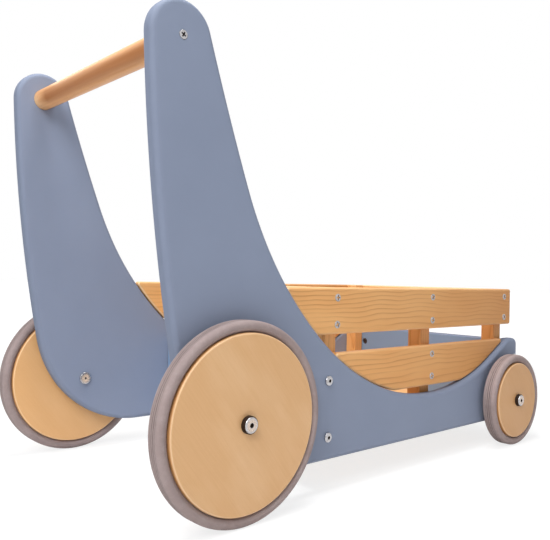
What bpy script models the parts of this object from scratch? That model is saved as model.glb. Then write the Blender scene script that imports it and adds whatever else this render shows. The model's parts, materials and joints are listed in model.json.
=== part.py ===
"""Baby push walker: two swept side panels, a dowel handle, a slatted crate and four tyred wheels.

Frame: X forwards, Y to the walker's left, Z up, origin on the ground under the middle of the wheels' reach.
"""

import math
from dataclasses import dataclass

import bmesh
import bpy
from mathutils import Vector

MM = 0.001

# Running gear
WHEELBASE = 490.5 * MM
REAR_WHEEL_RADIUS = 93.5 * MM
FRONT_WHEEL_RADIUS = 62.5 * MM
TYRE_DEPTH = 11.0 * MM
TYRE_WIDTH = 19.0 * MM
TYRE_SHOULDER = 4.5 * MM
DISC_THICKNESS = 20.0 * MM
DISC_EDGE = 2.0 * MM
WHEEL_STANDOFF = 5.0 * MM
BUSH_RADIUS = 6.5 * MM
BUSH_FLANGE_RADIUS = 8.5 * MM
BUSH_FLANGE_THICKNESS = 2.0 * MM
SLEEVE_RADIUS = 4.0 * MM
SLEEVE_HEAD_RADIUS = 7.4 * MM
SLEEVE_HEAD_THICKNESS = 4.0 * MM
SLEEVE_REACH_INTO_PANEL = 9.0 * MM
AXLE_BOLT_RADIUS = 2.5 * MM
AXLE_BOLT_LENGTH = 30.0 * MM
AXLE_BOLT_HEAD_RADIUS = 7.0 * MM
AXLE_BOLT_HEAD_THICKNESS = 2.4 * MM
AXLE_BOLT_RELIEF = 1.0 * MM
HEX_KEY_RADIUS = 2.3 * MM
HEX_KEY_DEPTH = 1.5 * MM

# Side panels
PANEL_SPAN = 317.0 * MM
PANEL_THICKNESS = 16.0 * MM
PANEL_EDGE = 5.0 * MM
PANEL_CLEARANCE = 33.0 * MM
HANDLE_HEIGHT = 436.0 * MM
HANDLE_BEHIND_AXLE = 62.0 * MM
DOME_RADIUS = 32.5 * MM
REAR_EDGE_RADIUS = 1951.0 * MM
HEEL_RADIUS = 139.5 * MM
HEEL_AHEAD_OF_AXLE = 78.0 * MM
FRONT_EDGE_RADIUS = 2568.0 * MM
SWEEP_OPENING = 1.47
SWEEP_LEAN = math.radians(51.4)
BASIN_RADIUS = 300.5 * MM
BASIN_LOW = 85.3 * MM
NOSE_RISE = math.radians(29.0)
NOSE_HEIGHT = 145.5 * MM
NOSE_FLAT = 25.0 * MM
NOSE_AHEAD_OF_AXLE = 43.0 * MM
NOSE_BLEND_RADIUS = 20.0 * MM
NOSE_CORNER_RADIUS = 9.0 * MM
TOE_RADIUS = 14.0 * MM

# Handle
HANDLE_RADIUS = 12.0 * MM
HANDLE_EDGE = 1.0 * MM
HANDLE_SOCKET = 6.0 * MM
HANDLE_SCREW_RADIUS = 2.2 * MM
HANDLE_SCREW_LENGTH = 45.0 * MM
HANDLE_SCREW_HEAD_RADIUS = 4.2 * MM
HANDLE_SCREW_HEAD_DEPTH = 2.4 * MM

# Crate
POST_SIDE = 20.0 * MM
POST_EDGE = 1.2 * MM
POST_FROM_SLAT_END = 30.0 * MM
SLAT_ABOVE_BASIN = 9.2 * MM
SLAT_HEIGHT = 51.0 * MM
SLAT_SPACING = 20.5 * MM
SLAT_THICKNESS = 10.5 * MM
END_SLAT_THICKNESS = 8.0 * MM
SLAT_EDGE = 1.2 * MM
SLAT_MARGIN = 1.1 * MM
SLAT_CORNER_RADIUS = 7.0 * MM
SLAT_FRONT_CORNER_RADIUS = 2.0 * MM
LOWER_SLAT_TIP_RADIUS = 30.0 * MM
BOARD_THICKNESS = 16.0 * MM
BOARD_BELOW_NOSE = 2.5 * MM
BOARD_BEHIND_NOSE = 3.1 * MM
BOARD_EDGE = 1.5 * MM
FLOOR_THICKNESS = 9.0 * MM
FLOOR_RAISE = 6.0 * MM
FLOOR_EDGE = 0.8 * MM
FLOOR_GROOVE = 6.0 * MM

# Bolts that join the boards to the panels
BOLT_RADIUS = 3.0 * MM
BOLT_HEAD_RADIUS = 5.2 * MM
BOLT_HEAD_THICKNESS = 2.4 * MM
BOLT_FROM_BOARD_EDGE = 25.0 * MM
BOLT_BEYOND_NUT = 2.0 * MM
NUT_RADIUS = 5.0 * MM
NUT_LENGTH = 11.0 * MM
NUT_INSET = 26.0 * MM
NUT_BACK_WALL = 3.0 * MM

# Fits and facets
SEAT_GAP = 0.3 * MM
RUNNING_GAP = 0.15 * MM
CUT_OVERRUN = 1.0 * MM
WHEEL_FACETS = 36
SMALL_FACETS = 12
HANDLE_FACETS = 24
ARC_STEP = math.radians(7.0)
LONG_ARC_STEP = math.radians(2.6)
SWEEP_STEP = math.radians(4.5)
TIGHT_ARC_STEP = math.radians(18.0)

# Places worked out from the sizes
REAR_AXLE_X = (REAR_WHEEL_RADIUS - FRONT_WHEEL_RADIUS - WHEELBASE) / 2
FRONT_AXLE_X = REAR_AXLE_X + WHEELBASE
HALF_SPAN = PANEL_SPAN / 2
INNER_HALF = HALF_SPAN - PANEL_THICKNESS
HANDLE_X = REAR_AXLE_X - HANDLE_BEHIND_AXLE
NOSE_X = FRONT_AXLE_X + NOSE_AHEAD_OF_AXLE
RISE_TOP_X = NOSE_X - NOSE_FLAT
BASIN_HEIGHT = BASIN_LOW + BASIN_RADIUS
BASIN_DROP = (BASIN_HEIGHT - NOSE_HEIGHT) * math.cos(NOSE_RISE) - BASIN_RADIUS
BASIN_X = RISE_TOP_X + BASIN_DROP / math.sin(NOSE_RISE)
DOME_TO_BASIN = math.hypot(BASIN_X - HANDLE_X, BASIN_HEIGHT - HANDLE_HEIGHT) - DOME_RADIUS - BASIN_RADIUS
SWEEP_GROWTH = SWEEP_OPENING * DOME_TO_BASIN
SWEEP_RADIUS = BASIN_RADIUS + SWEEP_GROWTH
SWEEP_X = BASIN_X + SWEEP_GROWTH * math.cos(SWEEP_LEAN)
SWEEP_HEIGHT = BASIN_HEIGHT + SWEEP_GROWTH * math.sin(SWEEP_LEAN)
FLOOR_LOW = PANEL_CLEARANCE + FLOOR_RAISE
FLOOR_TOP = FLOOR_LOW + FLOOR_THICKNESS
BOARD_TOP = NOSE_HEIGHT - BOARD_BELOW_NOSE
LOWER_SLAT_LOW = BASIN_LOW + SLAT_ABOVE_BASIN
LOWER_SLAT_TOP = LOWER_SLAT_LOW + SLAT_HEIGHT
TOP_SLAT_LOW = LOWER_SLAT_TOP + SLAT_SPACING
CRATE_TOP = TOP_SLAT_LOW + SLAT_HEIGHT
SLAT_END_X = SWEEP_X - math.sqrt((SWEEP_RADIUS - SLAT_MARGIN) ** 2 - (SWEEP_HEIGHT - TOP_SLAT_LOW) ** 2)
POST_OUTER = INNER_HALF - SEAT_GAP
REAR_POST_X = SLAT_END_X + POST_FROM_SLAT_END
REAR_WALL_FRONT = REAR_POST_X - POST_SIDE / 2 - SEAT_GAP
FRONT_WALL_REAR = NOSE_X - BOARD_BEHIND_NOSE - BOARD_THICKNESS
FRONT_POST_X = FRONT_WALL_REAR - SEAT_GAP - POST_SIDE / 2
POST_PLACES = {"rear": REAR_POST_X, "middle": (REAR_POST_X + FRONT_POST_X) / 2, "front": FRONT_POST_X}
SLAT_FRONT = FRONT_WALL_REAR + END_SLAT_THICKNESS
SIDES = {"left": 1, "right": -1}


@dataclass
class PanelArcs:
    """Centres of the arcs that bound a side panel, as points of the XZ plane."""

    dome: Vector
    rear: Vector
    heel: Vector
    front: Vector
    sweep: Vector
    basin: Vector


def circle_crossing(centre_a, radius_a, centre_b, radius_b, turn):
    """The crossing of two circles to the left (turn 1) or right (turn -1) of the way from a to b."""
    way = centre_b - centre_a
    along = (way.length_squared + radius_a**2 - radius_b**2) / (2 * way.length)
    across = math.sqrt(radius_a**2 - along**2)
    ahead = way.normalized()
    return centre_a + ahead * along + Vector((-ahead.y, ahead.x)) * across * turn


def panel_arcs():
    """The tangent arcs: dome, rear edge and heel bulge outwards, front edge, sweep and basin are hollow."""
    dome = Vector((HANDLE_X, HANDLE_HEIGHT))
    heel = Vector((REAR_AXLE_X + HEEL_AHEAD_OF_AXLE, PANEL_CLEARANCE + HEEL_RADIUS))
    basin = Vector((BASIN_X, BASIN_HEIGHT))
    rear = circle_crossing(heel, REAR_EDGE_RADIUS - HEEL_RADIUS, dome, REAR_EDGE_RADIUS - DOME_RADIUS, -1)
    sweep = Vector((SWEEP_X, SWEEP_HEIGHT))
    front = circle_crossing(
        sweep, FRONT_EDGE_RADIUS - SWEEP_RADIUS, dome, FRONT_EDGE_RADIUS + DOME_RADIUS, -1
    )
    return PanelArcs(dome, rear, heel, front, sweep, basin)


def heading(from_point, to_point):
    """Angle of the way from one point to another."""
    way = to_point - from_point
    return math.atan2(way.y, way.x)


def arc(centre, radius, start, end, step=ARC_STEP):
    """Points along an arc, both ends included."""
    count = max(2, math.ceil(abs(end - start) / step))
    angles = [start + (end - start) * i / count for i in range(count + 1)]
    return [centre + Vector((math.cos(a), math.sin(a))) * radius for a in angles]


def fillet(before, corner, after, radius):
    """Points of an arc that rounds a corner between two straight runs."""
    back = (before - corner).normalized()
    on = (after - corner).normalized()
    half = back.angle(on) / 2
    centre = corner + (back + on).normalized() * (radius / math.sin(half))
    reach = radius / math.tan(half)
    start = heading(centre, corner + back * reach)
    sweep = (heading(centre, corner + on * reach) - start + math.pi) % (2 * math.pi) - math.pi
    return arc(centre, radius, start, start + sweep, TIGHT_ARC_STEP)


def rise_start(arcs, margin=0.0):
    """Where the straight nose rise leaves the basin arc, on a curve set in from the panel by a margin."""
    return arcs.basin + Vector((math.sin(NOSE_RISE), -math.cos(NOSE_RISE))) * (BASIN_RADIUS - margin)


def rise_x(arcs, height, margin=0.0):
    """X of the nose rise at a height."""
    start = rise_start(arcs, margin)
    return start.x + (height - start.y) / math.tan(NOSE_RISE)


def panel_outline(arcs):
    """The side panel's closed outline: heel, rear edge, handle dome, front edge, sweep, basin and nose."""
    half_turn = math.pi
    rear_heel = heading(arcs.rear, arcs.heel) % (2 * math.pi)
    rear_dome = heading(arcs.rear, arcs.dome) % (2 * math.pi)
    front_dome = heading(arcs.front, arcs.dome) % (2 * math.pi)
    front_sweep = heading(arcs.front, arcs.sweep) % (2 * math.pi)
    sweep_basin = heading(arcs.sweep, arcs.basin) % (2 * math.pi)
    points = arc(arcs.heel, HEEL_RADIUS, 1.5 * half_turn, rear_heel)
    points += arc(arcs.rear, REAR_EDGE_RADIUS, rear_heel, rear_dome, LONG_ARC_STEP)[1:]
    points += arc(arcs.dome, DOME_RADIUS, rear_dome, front_dome - half_turn, TIGHT_ARC_STEP)[1:]
    points += arc(arcs.front, FRONT_EDGE_RADIUS, front_dome, front_sweep, LONG_ARC_STEP)[1:]
    points += arc(arcs.sweep, SWEEP_RADIUS, front_sweep, sweep_basin, SWEEP_STEP)[1:]
    points += arc(arcs.basin, BASIN_RADIUS, sweep_basin, 1.5 * half_turn + NOSE_RISE, ARC_STEP)[1:]
    rise_top = Vector((RISE_TOP_X, NOSE_HEIGHT))
    nose_top = Vector((NOSE_X, NOSE_HEIGHT))
    toe = Vector((NOSE_X, PANEL_CLEARANCE))
    points += fillet(points[-1], rise_top, nose_top, NOSE_BLEND_RADIUS)
    points += fillet(rise_top, nose_top, toe, NOSE_CORNER_RADIUS)
    points += fillet(nose_top, toe, points[0], TOE_RADIUS)
    return points


def basin_rear_x(arcs, height, margin):
    """X of the panel's hollow edge behind the crate at a height, set in by a margin."""
    joint = arcs.basin + (arcs.basin - arcs.sweep).normalized() * (BASIN_RADIUS - margin)
    centre, radius = (arcs.sweep, SWEEP_RADIUS) if height > joint.y else (arcs.basin, BASIN_RADIUS)
    return centre.x - math.sqrt((radius - margin) ** 2 - (height - centre.y) ** 2)


def rear_end(arcs, low, high, steps):
    """Points up the curved rear end of a side slat."""
    heights = [low + (high - low) * i / steps for i in range(steps + 1)]
    return [Vector((basin_rear_x(arcs, z, SLAT_MARGIN), z)) for z in heights]


def top_slat_outline(arcs):
    """A top side slat: its rear end follows the panel, its front end is square."""
    end = rear_end(arcs, TOP_SLAT_LOW, CRATE_TOP, 4)
    front_low = Vector((SLAT_FRONT, TOP_SLAT_LOW))
    front_high = Vector((SLAT_FRONT, CRATE_TOP))
    points = fillet(front_low, end[0], end[1], SLAT_CORNER_RADIUS) + end[1:]
    points += fillet(end[-1], front_high, front_low, SLAT_FRONT_CORNER_RADIUS)
    points += fillet(front_high, front_low, end[0], SLAT_FRONT_CORNER_RADIUS)
    return points


def lower_slat_outline(arcs):
    """A lower side slat: both ends follow the panel's basin."""
    end = rear_end(arcs, LOWER_SLAT_LOW, LOWER_SLAT_TOP, 6)
    inner = BASIN_RADIUS - SLAT_MARGIN
    tip_angle = math.asin((arcs.basin.y - LOWER_SLAT_LOW) / inner)
    front = arc(arcs.basin, inner, -tip_angle, NOSE_RISE - math.pi / 2, ARC_STEP)
    top_front = Vector((rise_x(arcs, LOWER_SLAT_TOP, SLAT_MARGIN), LOWER_SLAT_TOP))
    points = fillet(front[0], end[0], end[1], LOWER_SLAT_TIP_RADIUS) + end[1:]
    points.append(top_front)
    points += front[:0:-1]
    points += fillet(front[1], front[0], end[0], LOWER_SLAT_TIP_RADIUS)
    return points


def clear_scene():
    """Removes every object of the open scene."""
    for found in list(bpy.data.objects):
        bpy.data.objects.remove(found)


def new_collection(name):
    """A collection linked to the scene."""
    made = bpy.data.collections.new(name)
    bpy.context.scene.collection.children.link(made)
    return made


def new_material(name, colour, roughness, metallic=0.0):
    """A Principled material from a linear colour."""
    made = bpy.data.materials.new(name)
    made.use_nodes = True
    shader = made.node_tree.nodes["Principled BSDF"]
    shader.inputs["Base Color"].default_value = (*colour, 1.0)
    shader.inputs["Roughness"].default_value = roughness
    shader.inputs["Metallic"].default_value = metallic
    return made


def profile_mesh(name, profile, facets, hollow=False):
    """A profile for turning. It lies half a facet round, so that a flat faces each quarter."""
    half = math.pi / facets
    points = [(r * math.cos(half), r * math.sin(half), z) for r, z in profile]
    edges = [(i, i + 1) for i in range(len(points) - 1)]
    if hollow:
        edges.append((len(points) - 1, 0))
    mesh = bpy.data.meshes.new(name)
    mesh.from_pydata(points, edges, [])
    return mesh


def turn(made, facets):
    """Turns a profile object round its Z axis."""
    screw = made.modifiers.new("turning", "SCREW")
    screw.steps = facets
    screw.render_steps = facets
    screw.use_merge_vertices = True
    screw.merge_threshold = 0.01 * MM


class Workshop:
    """Holds the collections and materials, and makes each kind of piece."""

    def __init__(self):
        self.parts = new_collection("push_walker")
        self.cutters = new_collection("cutters")
        self.paint = new_material("blue_grey_paint", (0.238, 0.279, 0.381), 0.45)
        self.pine = new_material("pine", (0.64, 0.36, 0.15), 0.5)
        self.beech = new_material("beech_dowel", (0.66, 0.38, 0.17), 0.45)
        self.birch = new_material("birch_plywood", (0.7, 0.44, 0.22), 0.5)
        self.rubber = new_material("grey_rubber", (0.33, 0.275, 0.266), 0.7)
        self.steel = new_material("nickel_steel", (0.72, 0.7, 0.68), 0.25, 1.0)
        self.nylon = new_material("black_nylon", (0.015, 0.013, 0.012), 0.5)

    def add(self, name, data, material, location=(0, 0, 0), rotation=(0, 0, 0), parent=None):
        """Links a new part to the walker's collection."""
        made = bpy.data.objects.new(name, data)
        made.data.materials.append(material)
        made.location = location
        made.rotation_euler = rotation
        made.parent = parent
        self.parts.objects.link(made)
        return made

    def empty(self, name, location, rotation):
        """A guide that carries pieces on one axis."""
        made = bpy.data.objects.new(name, None)
        made.location = location
        made.rotation_euler = rotation
        self.parts.objects.link(made)
        return made

    def box(self, name, low, high, edge, material):
        """A rectangular piece with eased edges, between two corners."""
        size = Vector(high) - Vector(low)
        mesh = bpy.data.meshes.new(name)
        shape = bmesh.new()
        bmesh.ops.create_cube(shape, size=1.0)
        bmesh.ops.scale(shape, vec=size, verts=shape.verts)
        shape.to_mesh(mesh)
        shape.free()
        made = self.add(name, mesh, material, (Vector(low) + Vector(high)) / 2)
        bevel = made.modifiers.new("eased_edges", "BEVEL")
        bevel.width = edge
        bevel.segments = 1
        return made

    def plate(self, name, outline, thickness, edge, y, material, rounding=0):
        """A flat piece cut to an outline of the XZ plane, with eased or rounded edges, centred on a Y."""
        curve = bpy.data.curves.new(name, "CURVE")
        curve.dimensions = "2D"
        curve.fill_mode = "BOTH"
        curve.extrude = thickness / 2 - edge
        curve.bevel_depth = edge
        curve.bevel_resolution = rounding
        curve.offset = -edge
        spline = curve.splines.new("POLY")
        spline.points.add(len(outline) - 1)
        for point, place in zip(spline.points, outline):
            point.co = (place.x, place.y, 0.0, 1.0)
        spline.use_cyclic_u = True
        drawn = self.add(name, curve, material, (0, y, 0), (math.pi / 2, 0, 0))
        return self.as_mesh(drawn, material)

    def as_mesh(self, drawn, material):
        """Replaces a curve object by a welded mesh at the same place."""
        bpy.context.view_layer.update()
        graph = bpy.context.evaluated_depsgraph_get()
        mesh = bpy.data.meshes.new_from_object(drawn.evaluated_get(graph))
        shape = bmesh.new()
        shape.from_mesh(mesh)
        bmesh.ops.remove_doubles(shape, verts=shape.verts, dist=0.01 * MM)
        bmesh.ops.dissolve_limit(shape, angle_limit=math.radians(0.1), verts=shape.verts, edges=shape.edges)
        bmesh.ops.recalc_face_normals(shape, faces=shape.faces)
        shape.to_mesh(mesh)
        shape.free()
        name, place = drawn.name, drawn.matrix_world.copy()
        bpy.data.objects.remove(drawn)
        mesh.materials.clear()
        made = self.add(name, mesh, material)
        made.matrix_world = place
        mesh.shade_smooth()
        mesh.set_sharp_from_angle(angle=math.radians(35.0))
        return made

    def turned(self, name, profile, facets, material, parent, hollow=False):
        """A piece turned round its parent's Z axis. The profile runs down the outside, then up any bore."""
        made = self.add(name, profile_mesh(name, profile, facets, hollow), material, parent=parent)
        turn(made, facets)
        return made

    def turned_cutter(self, name, profile, location, direction):
        """A hidden turned shape, to cut a stepped or sunk hole."""
        made = self.hide(name, profile_mesh(name, profile, SMALL_FACETS), location, direction)
        turn(made, SMALL_FACETS)
        return made

    def cutter(self, name, radius, start, end, facets=SMALL_FACETS):
        """A hidden cylinder between two points, to cut a hole."""
        way = Vector(end) - Vector(start)
        mesh = bpy.data.meshes.new(name)
        shape = bmesh.new()
        bmesh.ops.create_cone(
            shape, cap_ends=True, segments=facets, radius1=radius, radius2=radius, depth=way.length
        )
        shape.to_mesh(mesh)
        shape.free()
        return self.hide(name, mesh, (Vector(start) + Vector(end)) / 2, way)

    def block_cutter(self, name, low, high):
        """A hidden box between two corners, to cut a groove."""
        mesh = bpy.data.meshes.new(name)
        shape = bmesh.new()
        bmesh.ops.create_cube(shape, size=1.0)
        bmesh.ops.scale(shape, vec=Vector(high) - Vector(low), verts=shape.verts)
        shape.to_mesh(mesh)
        shape.free()
        return self.hide(name, mesh, (Vector(low) + Vector(high)) / 2, Vector((0, 0, 1)))

    def hide(self, name, mesh, location, direction):
        """Puts a cutter in its collection, with its Z along a direction."""
        made = bpy.data.objects.new(name, mesh)
        made.location = location
        made.rotation_mode = "QUATERNION"
        made.rotation_quaternion = direction.to_track_quat("Z", "Y")
        made.hide_render = True
        made.display_type = "WIRE"
        self.cutters.objects.link(made)
        return made

    def cut(self, target, cutter):
        """Takes a cutter's shape out of a part."""
        made = target.modifiers.new(cutter.name, "BOOLEAN")
        made.operation = "DIFFERENCE"
        made.object = cutter


def hole_radius(radius, facets=SMALL_FACETS, gap=SEAT_GAP):
    """Corner radius of a faceted hole that clears a round of a radius by a gap."""
    return (radius + gap) / math.cos(math.pi / facets)


def tread_radius(radius):
    """Corner radius of a faceted wheel whose flats lie at a radius."""
    return radius / math.cos(math.pi / WHEEL_FACETS)


def build_panels(shop, arcs):
    """The two painted side panels."""
    outline = panel_outline(arcs)
    return {
        side: shop.plate(
            f"{side}_side_panel",
            outline,
            PANEL_THICKNESS,
            PANEL_EDGE,
            sign * (HALF_SPAN - PANEL_THICKNESS / 2),
            shop.paint,
            rounding=1,
        )
        for side, sign in SIDES.items()
    }


def build_handle(shop, panels):
    """The dowel handle in its blind sockets, and the screw that holds each end."""
    reach = INNER_HALF + HANDLE_SOCKET - SEAT_GAP
    mesh = bpy.data.meshes.new("handle_bar")
    shape = bmesh.new()
    bmesh.ops.create_cone(
        shape,
        cap_ends=True,
        segments=HANDLE_FACETS,
        radius1=HANDLE_RADIUS,
        radius2=HANDLE_RADIUS,
        depth=2 * reach,
    )
    shape.to_mesh(mesh)
    shape.free()
    handle = shop.add("handle_bar", mesh, shop.beech, (HANDLE_X, 0, HANDLE_HEIGHT), (math.pi / 2, 0, 0))
    bevel = handle.modifiers.new("eased_ends", "BEVEL")
    bevel.width = HANDLE_EDGE
    bevel.segments = 1
    bevel.limit_method = "ANGLE"
    for side, sign in SIDES.items():
        build_handle_end(shop, panels[side], handle, side, sign)


def build_handle_end(shop, panel, handle, side, sign):
    """One end's socket, countersunk hole and screw."""

    def at(y):
        return Vector((HANDLE_X, sign * y, HANDLE_HEIGHT))

    socket_floor = INNER_HALF + HANDLE_SOCKET
    socket = shop.cutter(
        f"{side}_handle_socket",
        hole_radius(HANDLE_RADIUS, HANDLE_FACETS),
        at(INNER_HALF - CUT_OVERRUN),
        at(socket_floor),
        HANDLE_FACETS,
    )
    shop.cut(panel, socket)
    bore = hole_radius(HANDLE_SCREW_RADIUS)
    mouth = hole_radius(HANDLE_SCREW_HEAD_RADIUS)
    sunk_hole = [
        (0.0, CUT_OVERRUN),
        (mouth, CUT_OVERRUN),
        (mouth, -SEAT_GAP),
        (bore, -HANDLE_SCREW_HEAD_DEPTH - SEAT_GAP),
        (bore, socket_floor - HALF_SPAN - CUT_OVERRUN),
        (0.0, socket_floor - HALF_SPAN - CUT_OVERRUN),
    ]
    sink = shop.turned_cutter(f"{side}_handle_countersink", sunk_hole, at(HALF_SPAN), Vector((0, sign, 0)))
    shop.cut(panel, sink)
    tip = HALF_SPAN - HANDLE_SCREW_LENGTH
    pilot = shop.cutter(
        f"{side}_handle_pilot", bore, at(socket_floor + CUT_OVERRUN), at(tip - SEAT_GAP)
    )
    shop.cut(handle, pilot)
    axis = shop.empty(f"{side}_handle_screw_axis", at(HALF_SPAN), (-sign * math.pi / 2, 0, 0))
    profile = [
        (0.0, 0.0),
        (HANDLE_SCREW_HEAD_RADIUS, 0.0),
        (HANDLE_SCREW_RADIUS, -HANDLE_SCREW_HEAD_DEPTH),
        (HANDLE_SCREW_RADIUS, HANDLE_SCREW_RADIUS - HANDLE_SCREW_LENGTH),
        (0.0, -HANDLE_SCREW_LENGTH),
    ]
    shop.turned(f"{side}_handle_screw", profile, SMALL_FACETS, shop.steel, axis)


def build_posts(shop):
    """Three square posts down each side of the crate, standing on the floor."""
    posts = {}
    for place, x in POST_PLACES.items():
        for side, sign in SIDES.items():
            inner, outer = sorted((sign * (POST_OUTER - POST_SIDE), sign * POST_OUTER))
            posts[place, side] = shop.box(
                f"{place}_{side}_post",
                (x - POST_SIDE / 2, inner, FLOOR_TOP + SEAT_GAP),
                (x + POST_SIDE / 2, outer, CRATE_TOP),
                POST_EDGE,
                shop.pine,
            )
    return posts


def build_slats(shop, arcs):
    """The crate's side slats, in line with the panels, and its front and rear top slats."""
    outlines = {"top": top_slat_outline(arcs), "lower": lower_slat_outline(arcs)}
    for side, sign in SIDES.items():
        y = sign * (INNER_HALF + SLAT_THICKNESS / 2)
        for level, outline in outlines.items():
            shop.plate(f"{side}_{level}_slat", outline, SLAT_THICKNESS, SLAT_EDGE, y, shop.pine)
    width = INNER_HALF - SEAT_GAP
    rears = {"front": FRONT_WALL_REAR, "rear": REAR_WALL_FRONT - END_SLAT_THICKNESS}
    for end, x in rears.items():
        low = (x, -width, TOP_SLAT_LOW)
        high = (x + END_SLAT_THICKNESS, width, CRATE_TOP)
        shop.box(f"{end}_top_slat", low, high, SLAT_EDGE, shop.pine)


def build_boards(shop):
    """The front and rear boards between the panels, and the floor held in their grooves."""
    width = INNER_HALF - SEAT_GAP
    rears = {"rear": REAR_WALL_FRONT - BOARD_THICKNESS, "front": FRONT_WALL_REAR}
    boards = {
        end: shop.box(
            f"{end}_board",
            (x, -width, PANEL_CLEARANCE),
            (x + BOARD_THICKNESS, width, BOARD_TOP),
            BOARD_EDGE,
            shop.paint,
        )
        for end, x in rears.items()
    }
    floor_rear = REAR_WALL_FRONT - FLOOR_GROOVE
    floor_front = FRONT_WALL_REAR + FLOOR_GROOVE
    low = (floor_rear, -width, FLOOR_LOW)
    high = (floor_front, width, FLOOR_TOP)
    shop.box("floor_board", low, high, FLOOR_EDGE, shop.birch)
    past = INNER_HALF + CUT_OVERRUN
    groove = shop.block_cutter(
        "floor_groove",
        (floor_rear - SEAT_GAP, -past, FLOOR_LOW - SEAT_GAP),
        (floor_front + SEAT_GAP, past, FLOOR_TOP + SEAT_GAP),
    )
    for board in boards.values():
        shop.cut(board, groove)
    return boards


def build_bolts(shop, panels, boards):
    """The bolts through the panels, and the barrel nuts in the boards that they screw into."""
    for end, board in boards.items():
        inward = 1 if end == "rear" else -1
        middle = (REAR_WALL_FRONT if end == "rear" else FRONT_WALL_REAR) - inward * BOARD_THICKNESS / 2
        heights = {
            "upper": BOARD_TOP - BOLT_FROM_BOARD_EDGE,
            "lower": PANEL_CLEARANCE + BOLT_FROM_BOARD_EDGE,
        }
        for side, sign in SIDES.items():
            for level, z in heights.items():
                name = f"{end}_{side}_{level}"
                build_bolt(shop, panels[side], board, name, Vector((middle, 0, z)), sign, inward)


def build_bolt(shop, panel, board, name, middle, sign, inward):
    """One bolt, its barrel nut and their holes. The nut drops in from the face towards the crate."""

    def at(y):
        return middle + Vector((0, sign * y, 0))

    nut_y = INNER_HALF - NUT_INSET
    tip = nut_y - NUT_RADIUS - BOLT_BEYOND_NUT
    mouth = at(HALF_SPAN + CUT_OVERRUN)
    hole = shop.cutter(f"{name}_bolt_hole", hole_radius(BOLT_RADIUS), mouth, at(tip - SEAT_GAP))
    shop.cut(panel, hole)
    shop.cut(board, hole)
    face = middle.x + inward * BOARD_THICKNESS / 2
    nut_bottom = face - inward * (BOARD_THICKNESS - NUT_BACK_WALL)
    nut_hole = shop.cutter(
        f"{name}_nut_hole",
        hole_radius(NUT_RADIUS),
        (face + inward * CUT_OVERRUN, sign * nut_y, middle.z),
        (nut_bottom, sign * nut_y, middle.z),
    )
    shop.cut(board, nut_hole)
    nut_seat = (nut_bottom + inward * SEAT_GAP, sign * nut_y, middle.z)
    nut_axis = shop.empty(f"{name}_nut_axis", nut_seat, (0, inward * math.pi / 2, 0))
    nut = shop.turned(
        f"{name}_barrel_nut",
        [(0.0, NUT_LENGTH), (NUT_RADIUS, NUT_LENGTH), (NUT_RADIUS, 0.0), (0.0, 0.0)],
        SMALL_FACETS,
        shop.steel,
        nut_axis,
    )
    shop.cut(nut, hole)
    axis = shop.empty(f"{name}_bolt_axis", at(HALF_SPAN + SEAT_GAP), (-sign * math.pi / 2, 0, 0))
    length = HALF_SPAN + SEAT_GAP - tip
    crown = BOLT_HEAD_THICKNESS / 3
    profile = [
        (0.0, BOLT_HEAD_THICKNESS),
        (BOLT_HEAD_RADIUS - crown, BOLT_HEAD_THICKNESS),
        (BOLT_HEAD_RADIUS, BOLT_HEAD_THICKNESS - crown),
        (BOLT_HEAD_RADIUS, 0.0),
        (BOLT_RADIUS, 0.0),
        (BOLT_RADIUS, -length),
        (0.0, -length),
    ]
    bolt = shop.turned(f"{name}_bolt", profile, SMALL_FACETS, shop.steel, axis)
    outer = HALF_SPAN + SEAT_GAP + BOLT_HEAD_THICKNESS
    key_end = at(outer - HEX_KEY_DEPTH)
    key = shop.cutter(f"{name}_bolt_key", HEX_KEY_RADIUS, at(outer + CUT_OVERRUN), key_end, 6)
    shop.cut(bolt, key)


def build_wheels(shop, panels, posts):
    """Four wheels, each turning on its own axle sleeve outside a panel."""
    ends = {"rear": (REAR_AXLE_X, REAR_WHEEL_RADIUS), "front": (FRONT_AXLE_X, FRONT_WHEEL_RADIUS)}
    for end, (x, radius) in ends.items():
        for side, sign in SIDES.items():
            place = (x, sign * HALF_SPAN, radius)
            axis = shop.empty(f"{end}_{side}_axle", place, (-sign * math.pi / 2, 0, 0))
            build_wheel(shop, f"{end}_{side}", axis, radius)
            build_axle(shop, panels[side], f"{end}_{side}", axis, sign)
            if end == "front":
                relieve_post(shop, posts[end, side], axis.location, side, sign)


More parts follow.
